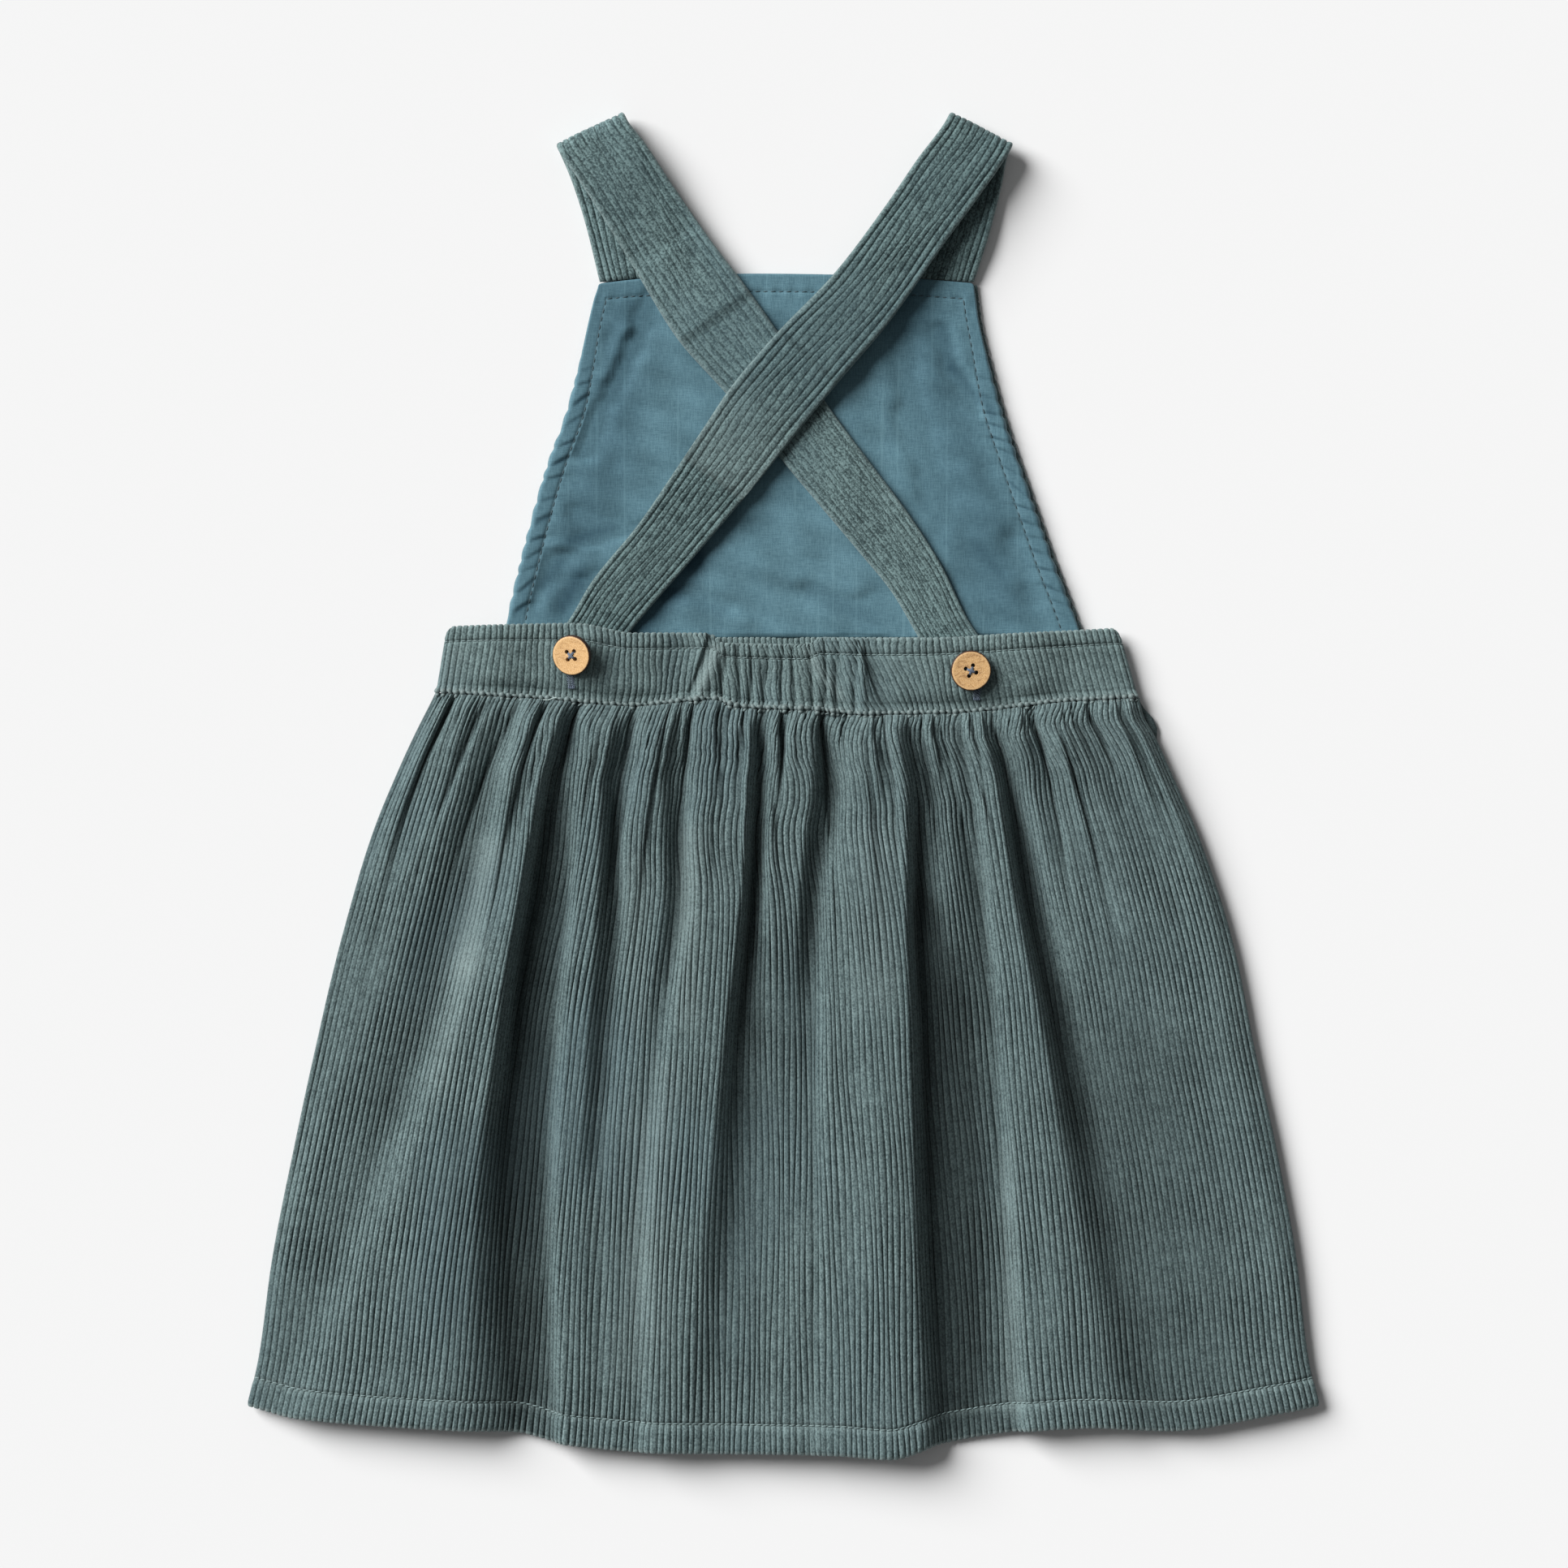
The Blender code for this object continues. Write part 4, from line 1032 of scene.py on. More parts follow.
def add_stitches(name, path, material, pitch, length, radius, lean=0.0, uneven=0.0):
    """Row of stitches: spindles at equal steps along a path, each turned by the lean about the upright.

    Where they are uneven, each one's lean and width differ from the next one's.
    A spindle's rings lie at half its length times t, and are as wide as its radius times sqrt(1 - t * t).
    """
    total = lengths_along(path)[-1]
    count = max(1, int(total / pitch))
    at = (np.arange(count) + 0.5) * total / count
    centre = along_path(path, at)
    run = unit(along_path(path, at + pitch / 4) - along_path(path, at - pitch / 4))
    side = unit(np.cross([0.0, 0.0, 1.0], run))
    number = np.arange(count)[:, None]
    angle = math.radians(lean) + uneven * np.sin(2.7 * number)
    axis = run * np.cos(angle) + side * np.sin(angle)
    flank = side * np.cos(angle) - run * np.sin(angle)
    up = np.cross(axis, flank)
    wide = radius * (1.0 + uneven * np.sin(1.9 * number + 1.0)) * np.sqrt(np.maximum(1.0 - SPINDLE**2, 0.002))
    ring = flank[:, None, None] * np.cos(ROUND)[:, None] + up[:, None, None] * np.sin(ROUND)[:, None]
    place = SPINDLE * length / 2
    middle = centre[:, None, None] + axis[:, None, None] * place[:, None, None]
    points = middle + ring * wide[:, :, None, None]
    cloth = np.broadcast_to(stacked(ROUND, place[:, None]), (*points.shape[:3], 2))
    return add_tubes(name, points, cloth, material)


def add_threads(name, paths, material, radius):
    """Threads along paths of equal numbers of points: a ring carried along each, closed at its ends."""
    paths = np.asarray(paths, float)
    run = unit(np.gradient(paths, axis=1))
    side = unit(np.cross([0.02, 0.03, 1.0], run))
    up = np.cross(run, side)
    ring = side[:, :, None] * np.cos(ROUND)[:, None] + up[:, :, None] * np.sin(ROUND)[:, None]
    points = paths[:, :, None] + radius * ring
    length = np.stack([lengths_along(path) for path in paths])
    return add_tubes(name, points, stacked(ROUND, length[:, :, None]), material)


# ---------------------------------------------------------------------------------------------------------
# Skirt


def fold_height(x, share):
    """Height over the large folds at one share of the length: a smooth curve through their tops and lows.

    Above the first level the folds narrow with the skirt, and their height rises from the seam's.
    """
    left, right = sides_at(share, SKIRT_SIDES)
    level = max(share, FOLD_LEVELS[0])
    level_left, level_right = sides_at(level, SKIRT_SIDES)
    fold_x = np.array([curve(level, FOLD_LEVELS, xs) for _, xs, _ in FOLDS])
    fold_z = np.array([curve(level, FOLD_LEVELS, zs) for _, _, zs in FOLDS])
    fold_x = left + (fold_x - level_left) * (right - left) / (level_right - level_left)
    height = curve(x, [left, *fold_x, right], [SKIRT_EDGE_HEIGHT, *fold_z, SKIRT_EDGE_HEIGHT])
    return SEAM_HEIGHT + (height - SEAM_HEIGHT) * smooth_step(0.35 + 0.65 * share / FOLD_START)


def gather_bumps(across, share, count, unevenness, height, length):
    """Row of rounded bumps with sharp valleys between, each fading down the cloth: the highest at each place.

    A bump is its height times 1 - |u| ** 6, with u from -1 to 1 over its width, and is steeper on its right.
    """
    total = 0.0
    for number in range(count):
        sway = 0.06 * math.sin(1.9 * number) * share
        centre = (number + 0.5 + unevenness * math.sin(2.4 * number)) / count + sway
        half_width = (0.64 + 0.14 * math.sin(4.1 * number)) / count * (1.0 + 1.6 * share)
        half_width = half_width * np.where(across > centre, 0.84, 1.1)
        tall = height * (0.72 + 0.28 * math.sin(5.3 * number + 1.0))
        reach = length * (1.0 + 0.55 * math.sin(3.7 * number + 2.0))
        u = np.clip(np.abs(across - centre) / half_width, 0.0, 1.0)
        total = np.maximum(total, tall * (1.0 - u**6) * bell(share / reach))
    return total


def gather_height(x, share):
    """Height of the gathers under the waist seam: large ones, and small ones on them."""
    left, right = sides_at(share, SKIRT_SIDES)
    across = (x - left) / (right - left)
    total = gather_bumps(across, share, GATHERS, 0.36, GATHER_HEIGHT, GATHER_LENGTH)
    total = total + gather_bumps(across, share, PUCKERS, 0.35, PUCKER_TUCK, PUCKER_LENGTH)
    return total * smooth_step((x - left) / SIDE_EASE) * smooth_step((right - x) / SIDE_EASE)


def skirt_section(x, share):
    """Height of the cloth along one row of the back skirt: its folds and its gathers."""
    return fold_height(x, share) + gather_height(x, share)


def skirt_columns(shares, ribs):
    """x of each rib in each row of the back skirt: equal steps along the cloth, and a little sway."""
    down = shares[:, None]
    sway = 0.22 * np.sin(0.31 * ribs + 9.0 * down) + 0.16 * np.sin(0.83 * ribs - 14.0 * down)
    sway = sway + 0.09 * np.sin(2.6 * ribs + 21.0 * down)
    sway = sway * np.sin(math.pi * ribs / SKIRT_RIBS)
    across = (ribs + sway) / SKIRT_RIBS
    return np.stack([
        spread(*sides_at(share, SKIRT_SIDES), lambda at: skirt_section(at, share), places)
        for share, places in zip(shares, across)
    ])


def back_skirt_surface(shares, ribs):
    """Middle of the ribs of the back skirt, and its inside: grids of points by row and by rib.

    The height is that of the folds, plus the gathers where the seam doesn't hold them down, plus the creases
    away from the sides.
    """
    down = shares[:, None]
    x = skirt_columns(shares, ribs)
    folds = np.stack([fold_height(row, share) for row, share in zip(x, shares)])
    held = 1.0 - 0.5 * bell(down / SEAM_HOLD) - 0.26 * bell(down / GATHERS_GROW)
    z = folds + gather_height(x, down) * held
    top = line_at(x[0], WAIST_SEAM) - PIECE_GAP
    bottom = line_at(x[-1], HEM)
    y = top * (1.0 - down) + bottom * down
    left, right = sides_at(down, SKIRT_SIDES)
    inside = smooth_step((x - left) / (3 * SIDE_EASE)) * smooth_step((right - x) / (3 * SIDE_EASE))
    soft = crease_height(x, y, SKIRT_CREASES)
    soft = soft + ripples(x, y, (0.22, 31.0, 76.0), (0.2, 47.0, 108.0), (0.16, 23.0, 60.0))
    z = z + soft * inside * smooth_step(down / 0.05)
    return stacked(x, y, z), stacked(x, y, folds - SKIRT_WALL)


def hem_relief(shares):
    """Height that the turned-up hem adds: a second ply below the stitches, which sink in a narrow groove."""
    ply = HEM_PLY * smooth_step((shares - HEM_LINE) / 0.006)
    groove = 0.75 * bell((shares - HEM_LINE) / 0.0026)
    return ply - groove - 0.9 * rolled((shares - HEM_ROLL) / (1.0 - HEM_ROLL))


def skirt_marks(middle, down, tucked):
    """How far the back skirt's cloth is paled by wear and painted highlights, darkened by painted shade, and
    fluffed up.

    Painted shade darkens it where it lies lower than the cloth beside it, over three widths, along the listed
    stretches, and in the deep grooves tucked in under the waist seam. Painted highlights pale the listed
    crests and the rolled hem edge, and the hem's stitched line is worn pale.
    """
    x, y, height = np.moveaxis(middle, -1, 0)
    uneven_pile = ripples(x, y, (0.22, 67.0, 15.0), (0.2, 41.0, 100.0), (0.15, 29.0, 50.0))
    fluff = 0.15 + crease_height(x, y, FLUFFY) + uneven_pile
    fluff = np.clip(fluff, -0.4, 0.9) * smooth_step(down / 0.1)
    # Painted shade in the hollows, over three widths
    wide = 0.9 * hollow(height, 43, 4.0) * (1.0 - 0.65 * bell(down / 0.12))
    shade = np.maximum(wide, 0.9 * hollow(height, 7, 0.8))
    painted_shade_and_highlight = crease_height(x, y, SKIRT_PAINTED_SHADE_AND_HIGHLIGHT)
    # Painted shade: hollows, the listed valleys and the tucked grooves
    shade = np.maximum(shade, 0.8 * hollow(height, 95, 6.5)) + 0.9 * np.maximum(painted_shade_and_highlight, 0.0) + 0.35 * tucked
    # Painted highlight along the rolled hem edge, and the worn stitched line
    hem_wear = 0.8 * smooth_step((down - 0.9955) / 0.004) + 0.25 * bell((down - HEM_LINE) / 0.004)
    return {"wear": hem_wear + np.maximum(-painted_shade_and_highlight, 0.0), "shade": shade, "fluff": fluff}


def make_back_skirt(face, reverse, thread):
    """Back skirt panel: ribs that fan out from the gathered waist seam over the folds to the stitched hem."""
    body = 0.95 * np.linspace(0.0, 1.0, 74) ** 1.3
    hem = stations((0.9535, HEM_LINE - 0.003, HEM_LINE + 0.003, HEM_ROLL, 1.0), (3, 6, 4, 4))
    shares = np.concatenate([body, hem])
    down = shares[:, None]
    ribs, fall = rib_stations(SKIRT_RIBS)
    middle, inside = back_skirt_surface(shares, ribs)
    along = down * SKIRT_LENGTH / RIB_PITCH
    groove = np.round(ribs)
    tucked = np.clip(np.sin(2.3 * groove + 1.4 * np.sin(0.9 * groove)), 0.0, 1.0) * bell(down / TUCK_LENGTH)
    marks = skirt_marks(middle, down, tucked * fall)
    uneven = ripples(ribs, along, (0.16, 9.3, 12.0), (0.14, 31.0, 70.0), (0.1, 2.7, 3.0))
    pinched = 1.0 - 0.25 * bell(down / 0.08)
    depth = RIB_DEPTH * (0.8 + uneven) * pinched * (1.0 + TUCK_DEPTH * tucked) * (1.0 - 0.55 * marks["fluff"])
    relief = hem_relief(down) - depth * fall
    outer = middle + normals_of(middle) * relief[..., None]
    outer[-1, :, 1] -= HEM_SCALLOP * (1.0 - fall)
    outer[..., 2] = np.maximum(outer[..., 2], SKIRT_LOWEST)
    inner = inside[:, :: 2 * len(RIB_PLACES)]
    inner[..., 2] = np.maximum(inner[..., 2], CORDUROY + PIECE_GAP)
    skirt = add_wall("skirt_back_cloth", outer, inner, stacked(ribs, along), [face, reverse], **marks)
    path = middle[row_at(shares, HEM_LINE)] + [0.0, 0.0, -0.35]
    return skirt, add_stitches("hem_stitches_back", path, thread, **STITCHES["hem_back"])


def make_front_skirt(face, reverse, thread):
    """Front skirt panel, face down and flat, with the ribs and gathers let into its underside."""
    shares = np.concatenate([np.linspace(0.0, 0.3, 22), stations((0.33, 0.955, 0.967, 1.0), (14, 4, 4))])
    down = shares[:, None]
    ribs, fall = rib_stations(SKIRT_RIBS // 2)
    ribs = ribs * 2
    across = ribs / SKIRT_RIBS
    left, right = sides_at(0.006 + 0.994 * down, SKIRT_SIDES)
    left = left + FRONT_PANEL_INSET
    right = right - FRONT_PANEL_INSET + FRONT_PANEL_PEEK * bell((down - 0.032) / 0.02)
    x = left + (right - left) * across
    top = line_at(x[0], WAIST_SEAM) - PIECE_GAP
    bottom = line_at(x[-1], HEM) + FRONT_PANEL_INSET
    y = top * (1.0 - down) + bottom * down
    gathers = 0.5 + 0.5 * np.sin(2.0 * math.pi * FRONT_GATHERS * across + 2.0 * np.sin(21.0 * across))
    gathers = gathers * bell(down / FRONT_GATHER_LENGTH)
    creased = np.clip(np.abs(crease_height(-x, y, SKIRT_CREASES)), 0.0, 1.0)
    let_in = 0.35 * fall + 0.95 * gathers + 0.5 * bell((down - HEM_LINE) / 0.003) + 0.6 * creased
    under = stacked(x, y, np.minimum(let_in, LET_IN_LIMIT))
    over = stacked(x, y, CORDUROY)[:, :: len(RIB_PLACES)]
    cloth = stacked(ribs, down * SKIRT_LENGTH / RIB_PITCH)
    # Painted shade in the gathers and creases of the underside
    shade = 0.4 * gathers + 0.3 * creased
    sides = under[:, ::-1], over[:, ::-1], cloth[:, ::-1]
    skirt = add_wall("skirt_front_cloth", *sides, [face, reverse], shade=shade[:, ::-1])
    path = under[row_at(shares, HEM_LINE), :: len(RIB_PLACES)] * [1.0, 1.0, 0.0] + [0.0, 0.0, 0.3]
    return skirt, add_stitches("hem_stitches_front", path, thread, **STITCHES["hem_front"])


# ---------------------------------------------------------------------------------------------------------
# Waistband


def strap_lift(x):
    """Height by which the straps underneath lift the back waistband."""
    lift = 0.0
    for start, full, end, gone in zip(*STRAP_ZONES.values()):
        lift = lift + smooth_step((x - start) / (full - start)) * smooth_step((gone - x) / (gone - end))
    return STRAP_LIFT * lift


def elastic_bunch(x, row):
    """Height of the upright creases over the elastic, of the slanted ones at its ends and of folded edges."""
    start, end = ELASTIC
    inside = smooth_step((x - start) / ELASTIC_WAVE) * smooth_step((end - x) / ELASTIC_WAVE)
    phase = 2.0 * math.pi * (x - start) / ELASTIC_WAVE
    wave = np.abs(np.sin(0.5 * phase + 0.45 * np.sin(0.37 * phase) + 0.35 * np.sin(4.0 * row + 0.8 * phase)))
    bunch = inside * ELASTIC_BUNCH * wave**0.6
    for bottom_x, top_x, width, height in zip(*BAND_CREASES.values()):
        centre = bottom_x + (top_x - bottom_x) * row
        bunch = bunch + height * bell((x - centre) / width)
    for bottom_x, top_x, high_side, height, reach in zip(*BAND_STEPS.values()):
        beyond = (x - bottom_x - (top_x - bottom_x) * row**0.7) * high_side
        fading = 0.3 + 0.7 * smooth_step(row / 0.7)
        bunch = bunch + height * fading * smooth_step(beyond / 0.9) * bell(np.maximum(beyond, 0.0) / reach)
    return bunch


def band_ends(row):
    """x of the waistband's left and right ends at a row: a share of its width, from its seam to its top."""
    left = BAND_ENDS["bottom_left"] + (BAND_ENDS["top_left"] - BAND_ENDS["bottom_left"]) * row
    return left, BAND_ENDS["bottom_right"] + (BAND_ENDS["top_right"] - BAND_ENDS["bottom_right"]) * row


def band_section(x, row):
    """Height of the elastic's creases along one row, less the fall of the waistband's rolled ends."""
    left, right = band_ends(row)
    inwards = np.minimum(x - left, right - x)
    return elastic_bunch(x, row) - BAND_END_FALL * turned_edge(inwards, BAND_END_REACH)


def band_underside(x, row):
    """Height of the back waistband's underside: clear of the front one, and of the straps under it."""
    rise = 0.7 * smooth_step(row / 0.3) + 0.3 * smooth_step(row / 0.9)
    return CORDUROY_DOUBLE + PIECE_GAP + strap_lift(x) * rise


def band_height(x, row):
    """Height of the back waistband's outer side, without its ribs, at x and a share of its width."""
    low = line_at(x, WAIST_SEAM)
    high = line_at(x, BAND_TOP)
    rises = crease_height(x, low + (high - low) * row, BAND_RISES)
    rises = rises + ripples(x, BAND_WIDTH * row, (0.3, 27.0, 20.0), (0.2, 15.0, 70.0), (0.2, 41.0, 160.0))
    return band_underside(x, row) + CORDUROY_DOUBLE + elastic_bunch(x, row) * (1.0 - 0.4 * row) + rises


def band_columns(row, ribs):
    """x of each rib in one row of the back waistband: equal steps along the cloth, leaning and bending."""
    lean = 0.7 * np.sin(0.21 * ribs + 1.0) + 0.35 * np.sin(0.53 * ribs)
    lean = lean - SLANT * bell((ribs - SLANT_RIB) / SLANT_REACH)
    bend = 0.4 * np.sin(0.37 * ribs + 2.0) + 0.12 * np.sin(1.3 * ribs)
    sway = (lean * (row - 0.5) + bend * math.sin(2.0 * math.pi * row)) * np.sin(math.pi * ribs / BAND_RIBS)
    return spread(*band_ends(row), lambda at: band_section(at, row), (ribs + sway) / BAND_RIBS)


def band_relief(row, ribs, fall):
    """Height added by the ribs and seams: sunk top stitches, and small puffs rolled over the waist seam."""
    stitched = -0.7 * bell((row - TOP_STITCH) / STITCH_REACH) + 0.3 * bell((row - TOP_STITCH - 0.09) / 0.06)
    puffs = 0.75 + 0.25 * np.sin(1.7 * ribs + 1.5 * np.sin(0.6 * ribs))
    roll = 0.5 * puffs * bell((row - SEAM_ROLL) / 0.04) - 0.2 * bell((row - SEAM_STITCH) / STITCH_REACH)
    over_edge = 0.9 * rolled((row - BAND_ROLL) / (1.0 - BAND_ROLL))
    under_edge = 0.25 * rolled((0.03 - row) / 0.03)
    deeper = 1.0 + 0.7 * smooth_step((0.12 - row) / 0.03) + 0.5 * smooth_step((row - 0.8) / 0.04)
    deeper = deeper + ripples(ribs, 12.0 * row, (0.22, 7.3, 10.0), (0.18, 23.0, 60.0))
    return stitched + roll - over_edge - under_edge - BAND_RIB_DEPTH * fall * deeper


def band_edge_wear(row):
    """How pale the waistband's top edge is: worn pile, and a painted highlight along the rolled edge."""
    return 0.45 * smooth_step((row - 0.97) / 0.03)


def make_back_band(face, thread, seam):
    """Back waistband: two plies lifted over the straps, bunched by an elastic, with a cord-like seam edge."""
    rows = stations(BAND_ROWS, (5, 5, 7, 15, 16))
    row = rows[:, None]
    ribs, fall = rib_stations(BAND_RIBS)
    x = np.stack([band_columns(share, ribs) for share in rows])
    low = line_at(x, WAIST_SEAM)
    y = low + (line_at(x, BAND_TOP) - low) * row
    ends = turned_edge(np.minimum(x - x[:, :1], x[:, -1:] - x), BAND_END_REACH)
    y = y - BAND_CORNER * ends * smooth_step((row - 0.7) / 0.3)
    middle = stacked(x, y, band_height(x, row) - BAND_END_FALL * ends)
    outer = middle + normals_of(middle) * band_relief(row, ribs, fall)[..., None]
    outer[..., 1] += BAND_SCALLOP * (1.0 - fall) * smooth_step((row - BAND_ROLL) / (1.0 - BAND_ROLL))
    inner = stacked(x, y, band_underside(x, row))[:, :: 2 * len(RIB_PLACES)]
    # Pale top edge and seam roll, worn and with painted highlights, and painted highlights on the listed
    # crests
    wear = band_edge_wear(row) + 0.35 * bell((row - SEAM_ROLL) / 0.04) + crease_height(x, y, BAND_PAINTED_HIGHLIGHT)
    # Painted shade in the hollows between the elastic's creases
    shade = 0.53 * hollow(middle[..., 2], 8, 1.1)
    fluff = np.clip(0.2 + ripples(x, BAND_WIDTH * row, (0.25, 37.0, 10.0), (0.2, 19.0, 60.0)), 0.0, 0.8)
    marks = {"wear": wear, "shade": shade, "fluff": fluff}
    cloth = stacked(ribs, (1.0 - row) * BAND_MAP_WIDTH)
    band = add_wall("waistband_back_cloth", outer, inner, cloth, [face], **marks)
    path = middle[row_at(rows, TOP_STITCH)] + [0.0, 0.0, -0.3]
    stitches = add_stitches("waistband_stitches", path, thread, **STITCHES["band_top"])
    path = middle[-1] + [0.0, 0.4, 0.1]
    rope = add_stitches("waist_seam_rope", path, seam, **STITCHES["seam_rope"])
    path = middle[-1] + [0.0, -1.05, 0.05]
    rope_under = add_stitches("waist_seam_rope_under", path, seam, **STITCHES["seam_rope_under"])
    return band, stitches, rope, rope_under


def make_front_band(face):
    """Front waistband: flat on the surface under the back one, ribbed on both its sides."""
    rows = stations(BAND_ROWS, (3, 3, 5, 6, 8))
    row = rows[:, None]
    ribs, fall = rib_stations(BAND_RIBS)
    left, right = band_ends(row)
    x = left + FRONT_BAND_INSET + (right - left - 2 * FRONT_BAND_INSET) * ribs / BAND_RIBS
    low = line_at(x, WAIST_SEAM)
    rolling = smooth_step((row - BAND_ROLL) / (1.0 - BAND_ROLL))
    y = low + (FRONT_BAND_TOP - low) * row + FRONT_BAND_SCALLOP * (1.0 - fall) * rolling
    seams = 0.5 * bell((row - TOP_STITCH) / STITCH_REACH) + 0.6 * bell((row - SEAM_STITCH) / STITCH_REACH)
    let_in = 0.4 * fall + seams + 0.2 * rolling
    under = stacked(x, y, let_in)
    over = stacked(x, y, CORDUROY_DOUBLE - let_in)
    cloth = stacked(ribs, (1.0 - row) * BAND_MAP_WIDTH)
    wear = np.broadcast_to(band_edge_wear(row), x.shape)
    return add_wall("waistband_front_cloth", over, under, cloth, [face], wear=wear)


# ---------------------------------------------------------------------------------------------------------
# Bib


def pucker_cycle(y, across, side):
    """Share of one pucker, from 0 to 1: uneven steps along the edge, slanting up towards the stitches."""
    pitch = PUCKER_PITCH * np.where(side < 0, 1.0, 0.86)
    slant = 3.2 + 1.6 * np.sin(0.11 * y + side)
    cycle = (y - slant * across) / pitch + 0.2 * np.sin(0.17 * y + 2.0 * side) + 0.1 * np.sin(0.53 * y)
    return cycle - np.floor(cycle)


def lining_plan(side_y):
    """Lining seen from above, with its columns close together in the casings and wide apart between them.

    Gives x, the side that each column belongs to, and its distance from that side's edge as it is where the
    casing has its whole width.
    """
    left, right = sides_at(side_y, BIB_SIDES)
    width = right - BIB_EDGE - left
    casing = stations((0.0, 1.2, CASING - 0.9, CASING + 1.2), (4, 8, 6))
    start, over = CASING_NARROWS
    narrow = (CASING_TOP + (CASING - CASING_TOP) * smooth_step((start - side_y) / over)) / CASING
    between = (width - 2 * casing[-1] * narrow) * np.linspace(0.0, 1.0, 84)[1:-1]
    inwards = np.hstack([casing * narrow, casing[-1] * narrow + between, width - casing[::-1] * narrow])
    columns = inwards.shape[1]
    side = np.where(np.arange(columns) < columns / 2, -1.0, 1.0)
    return left + inwards, side, np.minimum(inwards, width - inwards) / narrow


def casing_puckers(side_y, side, from_edge):
    """Puckers of the casings: their cycle and strength, how far they show at each height, and how high.

    A casing is a tube with a puff at each pucker, and the puffs run out a little way beyond its stitches.
    """
    across = np.clip(from_edge / CASING, 0.0, 1.0)
    cycle = pucker_cycle(side_y, across, side)
    puff = smooth_step(cycle / 0.14) * (1.0 - cycle) ** 0.7 * bell((across - 0.75) / 0.5)
    begun = smooth_step((side_y - PUCKERS_START) / PUCKER_PITCH)
    begun = begun * smooth_step((PUCKERS_END - side_y) / PUCKERS_FADE)
    strength = np.where(side < 0, 1.0, 1.1) * (0.75 + 0.25 * np.sin(0.23 * side_y + 2.0 * side)) * begun
    tube = smooth_step(across / 0.25) * (1.0 - across)
    height = PUCKER_HEIGHT * strength * (0.6 * tube + 0.75 * puff * (1.0 - 0.5 * across))
    beyond = np.clip((from_edge - CASING) / 9.0, 0.0, 1.0)
    run_out = 0.55 * strength * puff * (1.0 - beyond) ** 2
    return cycle, strength, begun, np.where(from_edge <= CASING, height, run_out)


def make_lining(cotton, thread):
    """Inside of the bib: cotton with slanting puckers in the casing along each side, and soft wrinkles."""
    shares = stations((1.0, TOP_SEAM + 0.012, TOP_SEAM - 0.012, 0.0), (5, 6, 190))
    up = shares[:, None]
    side_y = BIB_LOW + BIB_LENGTH * up
    x, side, from_edge = lining_plan(side_y)
    y = side_y + up**4 * (line_at(x, BIB_TOP) - BIB_HIGH)
    y = y - 1.4 * turned_edge(from_edge, 2.6) * smooth_step((up - TOP_SEAM) / (1.0 - TOP_SEAM))
    cycle, strength, begun, height = casing_puckers(side_y, side, from_edge)
    above_seam = (up - TOP_SEAM) * BIB_LENGTH
    seam = bell((from_edge - CASING) / 0.55) * smooth_step((TOP_SEAM + 0.01 - up) / 0.02)
    top_seam = bell(above_seam / 0.6) * smooth_step((from_edge - CASING + 1.0) / 1.0)
    inside = smooth_step((from_edge - CASING) / 6.0) * smooth_step((TOP_SEAM - up) / 0.06)
    soft = crease_height(x, y, LINING_WRINKLES) * smooth_step((from_edge - CASING) / 3.0)
    soft = soft + inside * ripples(x, y, (0.12, 17.0, 20.0), (0.1, 11.0, 75.0), (0.12, 29.0, 120.0))
    hem_puff = 0.22 * np.sin(0.9 * x + 0.8 * np.sin(0.2 * x)) * bell(above_seam / 3.0)
    tucked = 0.9 * smooth_step((BIB_LOW + 1.6 - side_y) / 1.6)
    floor = CORDUROY + PIECE_GAP
    z = floor + LINING + LINING_PUFF + height + soft * 2.3 + hem_puff - tucked
    z = z - 0.12 * seam * (1.0 + begun) - 0.35 * top_seam
    z = floor + (np.maximum(z, floor + LINING_PUFF) - floor) * (1.0 - 0.75 * turned_edge(from_edge, 1.2))
    in_casing = np.clip(1.0 - from_edge / CASING, 0.0, 1.0)
    x = x + side * 0.7 * begun * (np.sin(math.pi * cycle) - 0.6) * in_casing**2
    outer = stacked(x, y, z)
    wear = 0.6 * bell(from_edge / 0.5) + 0.2 * seam
    # Painted shade: dark lines in the casings' creases, a little over the casings, and the listed shadows and
    # hollows
    creased = np.where(side < 0, 0.75, 0.5) * strength * bell(np.minimum(cycle, 1.0 - cycle) / 0.09)
    shade = creased * smooth_step((1.0 - in_casing) / 0.6) * (from_edge < CASING + 0.8)
    shade = shade + crease_height(x, y, LINING_PAINTED_SHADE) + 0.12 * (from_edge < CASING)
    marks = {"wear": wear, "shade": shade}
    pieces = [add_wall("bib_lining_cloth", outer, stacked(x, y, floor), stacked(x, y), [cotton], **marks)]
    hem_row = row_at(shares, TOP_SEAM)
    path = outer[hem_row, from_edge[hem_row] >= CASING - 0.5] + [0.0, 0.0, -0.02]
    pieces.append(add_stitches("bib_top_stitches", path, thread, **STITCHES["bib_top"]))
    seam_column = row_at(from_edge[0, :60], CASING)
    for name, column in (("left", seam_column), ("right", -1 - seam_column)):
        path = outer[hem_row:, column] + [0.0, 0.0, -0.02]
        pieces.append(add_stitches(f"bib_casing_stitches_{name}", path, thread, **STITCHES["bib_casing"]))
    return pieces


